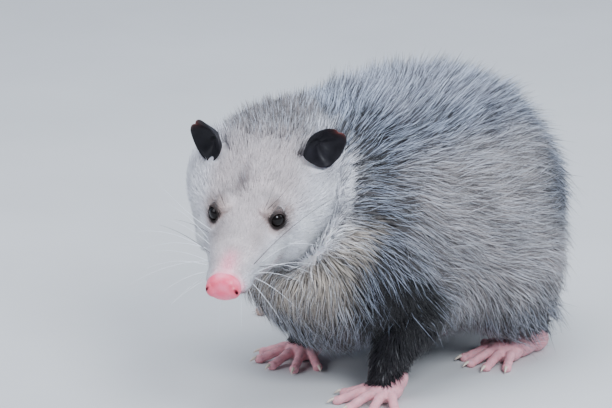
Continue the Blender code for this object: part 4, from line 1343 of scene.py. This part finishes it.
def coat_places(skin):
    """For each kind of hair, the skin's faces that carry it and how densely."""
    first = skin.faces[:, 0]
    of_face, places, normals = skin.region[first], skin.points[first], skin.normals[first]
    trunk, head, tail = (is_in(of_face, name) for name in ("trunk", "head", "tail"))
    arc = np.full(len(first), 1e3)
    arc[tail] = tail_arc(places[tail])[0]
    gap = np.zeros(len(first))
    gap[trunk] = head_gap(places[trunk])
    height, head_y = places[:, 2], in_head(places)[:, 1]
    outline = smooth_step(0.3, 0.9, normals[:, 2]) * smooth_step(120.0, 160.0, height)
    outline = np.maximum(outline, smooth_step(0.3, 0.9, normals[:, 1]))
    coat = trunk | (head & (head_y < -66.0))
    coated = smooth_step(4.0, 20.0, gap)
    thicker = 1.0 + 0.7 * smooth_step(150.0, 180.0, height)
    ruff = (head & (head_y < -14.0)) | (trunk & (gap < 16.0))
    return {
        "underfur": (coat, 0.25 + 0.75 * coated),
        "guard": (coat, thicker * (0.45 + 0.55 * coated)),
        "standing": (trunk, outline),
        "face": (head & (head_y > -44.0), 0.6 + 1.9 * smooth_step(-30.0, 45.0, head_y)),
        "ruff": (ruff, smooth_step(14.0, 40.0, -head_y)),
        "leg": (is_in(of_face, "foreleg", "hindleg"), 1.0),
        "tail": (tail & (arc < TAIL_FURRED), 1.0),
    }


def make_coat(skin, mouth, material):
    """Every coat piece, one kind of hair after the other."""
    draw = np.random.default_rng(SEED)
    pieces = []
    for kind, (wanted, density) in coat_places(skin).items():
        style = STYLES[kind]
        hairs = grow(skin, wanted, density, draw, style, mouth)
        pieces += in_pieces(f"coat_{kind}", hairs, material, PROFILES[style["rings"]])
    return pieces


# Sparse bristles of tail and feet, scattered by Geometry Nodes. Lengths and radii in millimetres.
BRISTLES = {
    "tail_bristles": dict(
        per_mm2=0.20, length=5.0, radius=0.16, seed=3, look="tail_bristle", slot="pale_tail"
    ),
    "foot_bristles": dict(
        per_mm2=0.14, length=3.4, radius=0.13, seed=4, look="foot_bristle", slot="pink_skin"
    ),
}


def bristle_places(skin):
    """The skin's faces that carry the bristles of tail and feet."""
    first = skin.faces[:, 0]
    tail, foot = (is_in(skin.region[first], name) for name in ("tail", "foot"))
    tail[tail] = tail_arc(skin.points[first[tail]])[0] > TAIL_FURRED - 15.0
    return {"tail_bristles": tail, "foot_bristles": foot & (skin.points[first, 2] > 4.0)}


def bristle_tree(material):
    """Scatters tapered bristles over a surface, each along the direction that the surface stores."""
    tree = bpy.data.node_groups.new("bristles", "GeometryNodeTree")
    sockets = tree.interface
    sockets.new_socket("Geometry", in_out="INPUT", socket_type="NodeSocketGeometry")
    for label in ("Density", "Length", "Radius"):
        sockets.new_socket(label, in_out="INPUT", socket_type="NodeSocketFloat")
    sockets.new_socket("Seed", in_out="INPUT", socket_type="NodeSocketInt")
    sockets.new_socket("Geometry", in_out="OUTPUT", socket_type="NodeSocketGeometry")
    given, result = tree.nodes.new("NodeGroupInput"), tree.nodes.new("NodeGroupOutput")
    scatter = tree.nodes.new("GeometryNodeDistributePointsOnFaces")
    bristle = tree.nodes.new("GeometryNodeMeshCone")
    bristle.inputs["Vertices"].default_value = 3
    bristle.inputs["Radius Top"].default_value = 0.0
    lean = tree.nodes.new("GeometryNodeInputNamedAttribute")
    lean.data_type = "FLOAT_VECTOR"
    lean.inputs["Name"].default_value = "lean"
    turn = tree.nodes.new("FunctionNodeAlignRotationToVector")
    turn.axis = "Z"
    size = tree.nodes.new("FunctionNodeRandomValue")
    size.data_type = "FLOAT"
    size.inputs[2].default_value = 0.5
    size.inputs[3].default_value = 1.1
    place = tree.nodes.new("GeometryNodeInstanceOnPoints")
    joined = tree.nodes.new("GeometryNodeRealizeInstances")
    finish = tree.nodes.new("GeometryNodeSetMaterial")
    finish.inputs["Material"].default_value = material
    for source, target in (
        (given.outputs["Geometry"], scatter.inputs["Mesh"]),
        (given.outputs["Density"], scatter.inputs["Density"]),
        (given.outputs["Seed"], scatter.inputs["Seed"]),
        (given.outputs["Length"], bristle.inputs["Depth"]),
        (given.outputs["Radius"], bristle.inputs["Radius Bottom"]),
        (given.outputs["Seed"], size.inputs["Seed"]),
        (lean.outputs["Attribute"], turn.inputs["Vector"]),
        (scatter.outputs["Points"], place.inputs["Points"]),
        (bristle.outputs["Mesh"], place.inputs["Instance"]),
        (turn.outputs["Rotation"], place.inputs["Rotation"]),
        (size.outputs[1], place.inputs["Scale"]),
        (place.outputs["Instances"], joined.inputs["Geometry"]),
        (joined.outputs["Geometry"], finish.inputs["Geometry"]),
        (finish.outputs["Geometry"], result.inputs["Geometry"]),
    ):
        tree.links.new(source, target)
    return tree


def patch_of_skin(skin, wanted, name):
    """The wanted faces of the skin as an object that stores which way its hair leans."""
    used, faces = np.unique(skin.faces[wanted], return_inverse=True)
    patch = add_object(name, mesh_from_arrays(name, skin.points[used], faces.reshape(-1, 3)))
    normals = skin.normals[used]
    ways = unit(lie_of_coat(skin.points[used], normals, skin.region[used]))
    lean = patch.data.attributes.new("lean", "FLOAT_VECTOR", "POINT")
    lean.data.foreach_set("vector", unit(ways + 0.55 * normals).astype(np.float32).ravel())
    return patch


def make_bristles(skin, name, wanted):
    """One joined piece of bristles over the wanted faces, each with its patch of the bake map."""
    sizes = BRISTLES[name]
    piece = patch_of_skin(skin, wanted, name)
    tree = bristle_tree(plain_material(sizes["look"]))
    step = piece.modifiers.new("bristles", "NODES")
    step.node_group = tree
    values = {
        "Density": sizes["per_mm2"] / MM**2,
        "Length": sizes["length"] * MM,
        "Radius": sizes["radius"] * MM,
        "Seed": sizes["seed"],
    }
    for item in tree.interface.items_tree:
        if item.in_out == "INPUT" and item.name in values:
            step[item.identifier] = values[item.name]
    flattened_at_floor(apply_modifiers(piece))
    roots = points_of(piece).reshape(-1, 4, 3).mean(axis=1)
    spots = unwrapped(roots, np.zeros(len(roots), bool))[:, None, :]
    set_bake_map(piece.data, spots + (np.array(BRISTLE_PATCH) - 0.5) * OFBAKE_PATCH)
    return piece


# Ears, eyes, nose, claws and whiskers.
def ear_frame(side):
    """The ear's middle and its own axes, in the head's frame."""
    axis = unit(mirrored(EAR_AXIS, side))
    facing = np.array(mirrored(EAR_FACING, side))
    facing = unit(facing - axis * facing.dot(axis))
    root = np.array((side * EAR_SPACING / 2, -EAR_BACK, EAR_UP))
    sink = RIGHT_EAR_SINK if side == -1 else 0.0
    middle = root + axis * (EAR_LENGTH * 0.5 - sink)
    return {"axis": axis, "facing": facing, "across": np.cross(axis, facing), "middle": middle}


def ear_faces():
    """The faces of a cup's inner and outer side, joined along the rim."""
    rim = (EAR_RINGS - 1) * EAR_SIDES
    size = EAR_RINGS * EAR_SIDES + 1
    pole = size - 1
    faces = []
    for k in range(EAR_SIDES):
        n = (k + 1) % EAR_SIDES
        faces.append((pole, k, n))
        faces.append((size + pole, size + n, size + k))
        for a in range(0, rim, EAR_SIDES):
            b = a + EAR_SIDES
            faces.append((a + k, b + k, b + n, a + n))
            faces.append((size + a + k, size + a + n, size + b + n, size + b + k))
        faces.append((rim + k, size + rim + k, size + rim + n, rim + n))
    return faces


def angles_from(start, angles):
    """Angles told from another one, within half a turn either way."""
    return (angles - start + math.pi) % (2 * math.pi) - math.pi


def make_ear(side, name, material):
    """A thin leathery cup with a soft, uneven rim and low folds in its hollow."""
    cup = ear_frame(side)
    turn = math.radians(EAR_TURN)
    upwards = cup["axis"] * math.cos(turn) + side * cup["across"] * math.sin(turn)
    across = cup["across"] * math.cos(turn) - side * cup["axis"] * math.sin(turn)
    draw = np.random.default_rng(SEED + side)
    angles = np.linspace(0, 2 * math.pi, EAR_SIDES, endpoint=False)
    wide, high = np.cos(angles), np.sin(angles)
    uneven = sum(
        draw.uniform(0.004, 0.016) * np.sin(k * angles + draw.uniform(0, 6.28)) for k in range(2, 8)
    )
    from_nip = angles_from(math.pi / 2 + side * 0.9, angles)
    nip, red = -0.09 * hump(from_nip, 0.0, 0.16), 0.55 * hump(from_nip, 0.0, 0.35)
    narrow = 1.0 - 0.30 * np.maximum(0.0, -high)
    points, tints = [], []
    for sign in (1, -1):
        for ring in range(EAR_RINGS):
            share = (ring + 1) / EAR_RINGS
            rim = 1.0 + (uneven + nip) * share**3
            fold = 1.5 * np.sin(4 * angles + 2.0 + 2.2 * share) * share * (1 - share) * 2.0
            deep = EAR_CUP * (share**2 - 1.0) * (1.0 - 0.30 * high * share) + fold
            wall = EAR_WALL / 2 * (1.0 - 0.45 * share**2)
            points.append(
                cup["middle"]
                + across * (wide * share * narrow * rim * EAR_WIDTH / 2)[:, None]
                + upwards * (high * share * rim * EAR_LENGTH / 2)[:, None]
                + cup["facing"] * (deep + sign * wall)[:, None]
            )
            tints.append(blend(np.broadcast_to(SOOT, (EAR_SIDES, 3)), EAR_RED, red * share**8))
        points.append((cup["middle"] + cup["facing"] * (-EAR_CUP + sign * EAR_WALL / 2))[None])
        tints.append(np.array([SOOT]))
    ear = solid(name, [head_shell((np.vstack(points), ear_faces()))], material)
    set_tint(ear.data, np.vstack(tints))
    return ear


def make_eye(side, name, material):
    """A smooth ball, a little raised where the cornea is."""
    axes = eye_axes(side)
    points, faces = ball((0, 0, 0), [EYE_RADIUS] * 3, 32, 48)
    points[:, 2] += 0.5 * smooth_step(0.55, 1.0, points[:, 2] / EYE_RADIUS)
    placed = points @ axes.T + eye_centre(side)
    return solid(name, [head_shell((placed, faces))], material)


def make_lid_rim(side, name, material):
    """The moist margin round the opening between the lids, drawn to a point at the inner corner."""
    axes, centre = eye_axes(side), eye_centre(side)
    angles = np.linspace(0, 2 * math.pi, LID_RINGS + 1)[:-1]
    corner = hump(angles_from(0 if side == -1 else math.pi, angles), 0.0, 0.35)
    line = []
    for angle, stretch in zip(angles, corner):
        flat = axes[:, 0] * math.cos(angle) * LID_OPENING_LONG * (1.0 + 0.22 * stretch)
        flat = flat + axes[:, 1] * math.sin(angle) * LID_OPENING_HIGH
        out = math.sqrt(max(0.0, (EYE_RADIUS + 0.20) ** 2 - flat.dot(flat)))
        line.append(centre + flat + axes[:, 2] * out)
    line = np.array(line)
    tangents = unit(np.roll(line, -1, axis=0) - np.roll(line, 1, axis=0))
    outward = unit(line - centre)
    across = np.cross(tangents, outward)
    strands = []
    for k in range(LID_SIDES):
        angle = 2 * math.pi * k / LID_SIDES
        strands.append(line + (outward * math.cos(angle) * 0.3 + across * math.sin(angle) * 0.5))
    points = np.stack(strands, axis=1).reshape(-1, 3)
    faces = []
    for ring in range(LID_RINGS):
        a, b = ring * LID_SIDES, (ring + 1) % LID_RINGS * LID_SIDES
        for k in range(LID_SIDES):
            n = (k + 1) % LID_SIDES
            faces.append((a + k, a + n, b + n, b + k))
    return solid(name, [head_shell((points, faces))], material)


def nostril_path(side):
    """Rows of x, y, z and radius down one nostril, in the head's frame."""
    return resample([(side * x, NOSE_FORWARD + y, -NOSE_DROP + z, r) for x, y, z, r in NOSTRIL], 24)


def nose_colours(points):
    """Pink, redder beside the nostrils and dark inside them."""
    local = in_head(points)
    tint = blend(np.broadcast_to(NOSE_PINK, points.shape), NOSE_PALE, 0.30 + 0.45 * FINE(points))
    for side in (1, -1):
        path = nostril_path(side)
        away = np.linalg.norm(local[:, None, :] - path[None, :, :3], axis=2) - path[None, :, 3]
        away = away.min(axis=1)
        tint = blend(tint, NOSTRIL_RED, 0.7 * (1.0 - smooth_step(0.5, 4.5, away)))
        tint = blend(tint, NOSTRIL_DARK, 1.0 - smooth_step(0.0, 0.7, away))
    return tint


def make_nose(material):
    """The pad with its two swollen wings, cut by the nostrils and by the groove down its middle."""
    shells = [ball(NOSE_MIDDLE, (NOSE_WIDTH / 2, NOSE_DEPTH / 2, NOSE_HEIGHT / 2))]
    for side in (1, -1):
        at = (side * NOSE_WIDTH * 0.27, NOSE_FORWARD + 0.8, -NOSE_DROP - 0.8)
        shells.append(ball(at, (5.4, 6.6, 6.0)))
    nose = fuse("nose_pad", [head_shell(s) for s in shells], *NOSE_MELT)
    front = NOSE_FORWARD + NOSE_DEPTH / 2
    groove = [(0.0, front + y, -NOSE_DROP + z, 0.45) for y, z in NOSE_GROOVE]
    cuts = (nostril_path(1), 20), (nostril_path(-1), 20), (resample(groove, 12), 12)
    for rows, sides in cuts:
        boolean(nose, solid("cut", [head_shell(tube(rows, sides))]), "DIFFERENCE")
    set_tint(nose.data, nose_colours(points_of(nose)))
    dress(nose, material)
    return nose


def make_claws(material):
    shells = []
    for _, side, at, palm, toes in feet():
        shells += foot_shells(side, at, palm, toes)[1]
    return solid("claws", shells, material)


# Whiskers in the head's frame: root, reach to the tip and how far the middle bows upwards.
WHISKERS = {
    "white": (
        ((-17, 26, -13), (-52, 3, 12), 7),
        ((-17, 30, -17), (-52, 14, -15), 5),
        ((-24, 8, -6), (-36, 0, 34), -3),
        ((-16, 34, -15), (-39, 0, 4), 4),
        ((-15, 36, -17), (-48, 0, -9), 6),
        ((-14, 38, -19), (-35, 8, -18), 4),
        ((-18, 22, -10), (-28, 0, 17), 3),
        ((-12, 42, -20), (-26, 12, -18), 2),
        ((-19, 20, -15), (-46, 6, -2), 6),
        ((-14, 34, -21), (-30, 10, -27), 2),
        ((-20, 14, -12), (-30, -4, 24), 4),
        ((-4, 44, -26), (-3, 6, -34), 0),
        ((5, 40, -27), (1, 8, -28), 0),
        ((9, 34, -27), (8, 4, -30), 0),
        ((13, 40, -16), (34, -6, -8), 4),
        ((15, 36, -18), (40, -14, 2), 5),
        ((14, 38, -20), (30, 2, -20), 3),
        ((17, 30, -14), (28, -16, 12), 3),
        ((13, 42, -21), (22, 6, -26), 2),
        ((18, 26, -18), (36, -10, -12), 4),
        ((24, 2, -16), (34, -10, -8), 3),
    ),
    "dark": (
        ((12, 36, -12), (60, -22, 52), 6),
        ((15, 32, -15), (40, -12, -16), 3),
        ((-16, 28, -12), (-34, 2, 20), 3),
        ((-22, 10, -9), (-24, 2, 10), 2),
        ((14, 3, 12), (22, -10, 28), -3),
        ((11, 4, 11), (8, -6, 22), -2),
        ((-12, 4, 11), (-8, -4, 20), -2),
        ((-20, 4, 0), (3, 14, -10), 2),
    ),
}
WHISKER_RADIUS = 0.27


def whisker_shell(root, reach, bow, radius):
    share = np.linspace(0.0, 1.0, 17)[:, None]
    line = root + reach * (share - 0.03) + HEAD[:, 2] * bow * 4.0 * share * (1.0 - share)
    return swept(line, radius * (1.0 - 0.82 * share[:, 0]), 6)


def make_whiskers(skin_tree, tone):
    """The whiskers of one tone, rooted on the skin. Short ones are thinner."""
    shells = []
    for root, reach, bow in WHISKERS[tone]:
        on_skin = np.array(skin_tree.find_nearest(on_head([root])[0].tolist())[0])
        reach = HEAD @ np.array(reach, float)
        radius = WHISKER_RADIUS * min(1.0, 0.35 + np.linalg.norm(reach) / 80.0)
        shells.append(whisker_shell(on_skin, reach, bow, radius))
    return solid(f"whiskers_{tone}", shells, plain_material(f"{tone}_whisker"))


# How far light spreads within bare skin, in metres for red, green and blue.
SKIN_GLOW = (0.004, 0.0015, 0.001)
# Materials that take the stored tint: mottle and gloss as the pattern's scale and detail with two stops,
# the values of the shader, and a fine relief by its kind, scale, strength and depth.
TINTED_LOOKS = {
    "coat_hair": dict(
        mottle=(900.0, 4.0, (0.3, 0.86), (0.7, 1.10)),
        gloss=(260.0, 4.0, (0.3, 0.50), (0.7, 0.66)),
        values={"Specular IOR Level": 0.22, "Sheen Weight": 0.12, "Sheen Roughness": 0.4},
        relief=None,
    ),
    "skin": dict(
        mottle=(220.0, 4.0, (0.3, 0.80), (0.7, 1.10)),
        gloss=(500.0, 4.0, (0.3, 0.42), (0.7, 0.66)),
        values={
            "Specular IOR Level": 0.22,
            "Subsurface Weight": 0.10,
            "Subsurface Radius": SKIN_GLOW,
        },
        relief=("creases", 900.0, 0.35, 0.0006),
    ),
    "wet_pink_nose": dict(
        mottle=(110.0, 3.0, (0.32, (0.96, 0.80, 0.82)), (0.7, (1.0, 1.1, 1.1))),
        gloss=(700.0, 4.0, (0.3, 0.22), (0.7, 0.45)),
        values={
            "Subsurface Weight": 0.25,
            "Subsurface Radius": SKIN_GLOW,
            "Specular IOR Level": 0.4,
            "Coat Weight": 0.10,
            "Coat Roughness": 0.15,
        },
        relief=("pores", 1100.0, 0.30, 0.0004),
    ),
    "black_ear_skin": dict(
        mottle=(160.0, 4.0, (0.3, 0.7), (0.7, 1.5)),
        gloss=(320.0, 4.0, (0.3, 0.36), (0.7, 0.60)),
        values={"Specular IOR Level": 0.18, "Sheen Weight": 0.02, "Sheen Roughness": 0.35},
        relief=("wrinkles", 420.0, 0.4, 0.0006),
    ),
}
# Plain materials: two close tones, scale of their pattern, roughness, relief and specular level.
PLAIN_LOOKS = {
    "tail_bristle": ((0.09, 0.07, 0.06), (0.32, 0.27, 0.25), 400.0, 0.5, 0.2, 0.5),
    "foot_bristle": ((0.30, 0.26, 0.25), (0.62, 0.56, 0.54), 400.0, 0.5, 0.2, 0.5),
    "dark_lid_margin": ((0.010, 0.007, 0.006), (0.016, 0.011, 0.009), 600.0, 0.65, 0.2, 0.06),
    "dark_wet_eye": ((0.003, 0.002, 0.002), (0.006, 0.004, 0.003), 300.0, 0.05, 0.0, 0.20),
    "claw_horn": ((0.55, 0.45, 0.36), (0.72, 0.62, 0.52), 500.0, 0.35, 0.2, 0.5),
    "white_whisker": ((0.72, 0.74, 0.78), (0.85, 0.86, 0.90), 800.0, 0.35, 0.2, 0.5),
    "dark_whisker": ((0.02, 0.015, 0.012), (0.06, 0.045, 0.04), 800.0, 0.4, 0.2, 0.5),
    "pale_floor": ((0.56, 0.56, 0.56), (0.60, 0.60, 0.60), 6.0, 0.8, 0.0, 0.5),
}


def new_material(name):
    """A node material, its node tree and its shader."""
    material = bpy.data.materials.new(name)
    material.use_nodes = True
    tree = material.node_tree
    return material, tree, tree.nodes["Principled BSDF"]


def noise_value(tree, scale, detail=4.0, roughness=0.55):
    place = tree.nodes.new("ShaderNodeTexCoord")
    noise = tree.nodes.new("ShaderNodeTexNoise")
    noise.inputs["Scale"].default_value = scale
    noise.inputs["Detail"].default_value = detail
    noise.inputs["Roughness"].default_value = roughness
    tree.links.new(place.outputs["Object"], noise.inputs["Vector"])
    return noise.outputs["Fac"]


def ramp_node(tree, source, stops):
    """A colour ramp over a value. stops are two of (place, grey or colour)."""
    ramp = tree.nodes.new("ShaderNodeValToRGB")
    for element, (place, colour) in zip(ramp.color_ramp.elements, stops):
        colour = (colour,) * 3 if isinstance(colour, float) else colour
        element.position = place
        element.color = (*colour, 1.0)
    tree.links.new(source, ramp.inputs["Fac"])
    return ramp.outputs["Color"]


def tinted(tree, mottle):
    """The stored tint multiplied by a mottle."""
    tint = tree.nodes.new("ShaderNodeAttribute")
    tint.attribute_name = "tint"
    mix = tree.nodes.new("ShaderNodeMix")
    mix.data_type = "RGBA"
    mix.blend_type = "MULTIPLY"
    mix.inputs[0].default_value = 1.0
    tree.links.new(tint.outputs["Color"], mix.inputs[6])
    tree.links.new(mottle, mix.inputs[7])
    return mix.outputs[2]


def relief_height(tree, kind, scale):
    """The height of creases between fine cells, of pores or of wrinkles."""
    if kind == "wrinkles":
        return noise_value(tree, scale, 6.0, 0.65)
    cells = tree.nodes.new("ShaderNodeTexVoronoi")
    cells.feature = {"creases": "DISTANCE_TO_EDGE", "pores": "F1"}[kind]
    cells.inputs["Scale"].default_value = scale
    place = tree.nodes.new("ShaderNodeTexCoord")
    tree.links.new(place.outputs["Object"], cells.inputs["Vector"])
    return cells.outputs["Distance"]


def add_bump(tree, shader, height, strength, distance):
    bump = tree.nodes.new("ShaderNodeBump")
    bump.inputs["Strength"].default_value = strength
    bump.inputs["Distance"].default_value = distance
    tree.links.new(height, bump.inputs["Height"])
    tree.links.new(bump.outputs["Normal"], shader.inputs["Normal"])


def tinted_material(name):
    """The stored tint, mottled, with an uneven gloss and, for skin, a fine relief."""
    look = TINTED_LOOKS[name]
    material, tree, shader = new_material(name)
    mottle, gloss = (
        ramp_node(tree, noise_value(tree, scale, detail), stops)
        for scale, detail, *stops in (look["mottle"], look["gloss"])
    )
    tree.links.new(tinted(tree, mottle), shader.inputs["Base Color"])
    tree.links.new(gloss, shader.inputs["Roughness"])
    for label, value in look["values"].items():
        shader.inputs[label].default_value = value
    if look["relief"]:
        kind, scale, strength, distance = look["relief"]
        add_bump(tree, shader, relief_height(tree, kind, scale), strength, distance)
    return material


def plain_material(name):
    """Two close tones of one colour in a fine pattern, for small hard or wet parts."""
    low, high, scale, roughness, bump, specular = PLAIN_LOOKS[name]
    material, tree, shader = new_material(name)
    pattern = noise_value(tree, scale)
    tone = ramp_node(tree, pattern, ((0.3, low), (0.7, high)))
    tree.links.new(tone, shader.inputs["Base Color"])
    shader.inputs["Roughness"].default_value = roughness
    shader.inputs["Specular IOR Level"].default_value = specular
    add_bump(tree, shader, pattern, bump, 0.0003)
    return material


# Setting: floor, light and camera.
def make_floor():
    mesh = bpy.data.meshes.new("floor")
    corners = [(x * FLOOR_HALF, y * FLOOR_HALF, 0) for x, y in ((-1, -1), (1, -1), (1, 1), (-1, 1))]
    mesh.from_pydata(corners, [], [(0, 1, 2, 3)])
    add_object("floor", mesh, plain_material("pale_floor"))


def make_light():
    world = bpy.data.worlds.new("soft_day")
    bpy.context.scene.world = world
    world.use_nodes = True
    sky = world.node_tree.nodes["Background"]
    sky.inputs["Color"].default_value = (0.64, 0.77, 1.0, 1.0)
    sky.inputs["Strength"].default_value = 0.50
    for name, place, size, power, colour in (
        ("overhead", (0.1, 0.0, 2.4), 2.0, 68.0, (0.84, 0.91, 1.0)),
        ("front", (-0.7, -2.1, 1.6), 1.6, 34.0, (0.93, 0.94, 1.0)),
        ("behind", (1.2, 2.0, 1.6), 1.4, 20.0, (0.88, 0.93, 1.0)),
        ("key", (1.62, -0.60, 1.42), 0.75, 50.0, (0.86, 0.92, 1.0)),
    ):
        lamp = bpy.data.lights.new(name, "AREA")
        lamp.size = size
        lamp.energy = power
        lamp.color = colour
        holder = bpy.data.objects.new(name, lamp)
        bpy.context.scene.collection.objects.link(holder)
        holder.location = place
        away = Vector(place) - Vector((0.0, 0.0, 0.1))
        holder.rotation_euler = away.to_track_quat("Z", "Y").to_euler()


def make_camera():
    """Looks from the animal's front left, with the photograph's framing."""
    turn, tilt = math.radians(CAMERA_AZIMUTH), math.radians(CAMERA_ELEVATION)
    back = Vector((math.sin(turn) * math.cos(tilt), -math.cos(turn) * math.cos(tilt), math.sin(tilt)))
    right = Vector((math.cos(turn), math.sin(turn), 0.0))
    up = back.cross(right)
    pixel = PHOTO_PIXEL * MM
    middle = Vector(STEP)
    middle += right * (PHOTO_WIDTH / 2 - PHOTO_ORIGIN[0]) * pixel
    middle -= up * (PHOTO_HEIGHT / 2 - PHOTO_ORIGIN[1]) * pixel
    lens = bpy.data.cameras.new("camera")
    lens.sensor_width = 36.0
    lens.lens = lens.sensor_width * CAMERA_DISTANCE / (PHOTO_WIDTH * pixel)
    camera = bpy.data.objects.new("camera", lens)
    bpy.context.scene.collection.objects.link(camera)
    camera.location = middle + back * CAMERA_DISTANCE
    camera.rotation_euler = Matrix((right, up, back)).transposed().to_euler()
    bpy.context.scene.camera = camera


def settle(piece, slot, *nodes):
    """Ties a finished piece to the body and hides the nodes that it stands for. The slot is not used."""
    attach(piece, "root")
    if nodes:
        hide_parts(*nodes)


def add_face():
    """Ears, eyes with their lid margins, and the nose."""
    ear_skin, eye_wet = tinted_material("black_ear_skin"), plain_material("dark_wet_eye")
    lid_skin = plain_material("dark_lid_margin")
    for side, word in ((1, "left"), (-1, "right")):
        settle(make_ear(side, f"ear_cup_{word}", ear_skin), "ear_skin", f"ear_{word}")
        settle(make_eye(side, f"eyeball_{word}", eye_wet), "eye", f"eye_{word}")
        settle(make_lid_rim(side, f"lid_margin_{word}", lid_skin), "eye")
    settle(make_nose(tinted_material("wet_pink_nose")), "pink_skin", "nose")


def build():
    """The setting, the skin with its coat and bristles, the face, the claws and the whiskers."""
    make_camera()
    make_light()
    make_floor()
    obj, mouth = make_skin()
    skin = Skin(obj, region_trees())
    set_tint(obj.data, markings(skin.points, skin.normals, skin.region))
    dress(obj, tinted_material("skin"))
    flesh = [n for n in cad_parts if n.split("_")[0] not in ("eye", "ear", "nose")]
    settle(obj, "grey_fur", *flesh)
    for piece in make_coat(skin, mouth, tinted_material("coat_hair")):
        settle(piece, STYLES[piece.name.split("_")[1]]["slot"])
    for name, wanted in bristle_places(skin).items():
        settle(make_bristles(skin, name, wanted), BRISTLES[name]["slot"])
    add_face()
    settle(make_claws(plain_material("claw_horn")), "pink_skin")
    settle(make_whiskers(skin.tree, "white"), "white_fur")
    settle(make_whiskers(skin.tree, "dark"), "black_fur")


build()
bpy.context.view_layer.update()
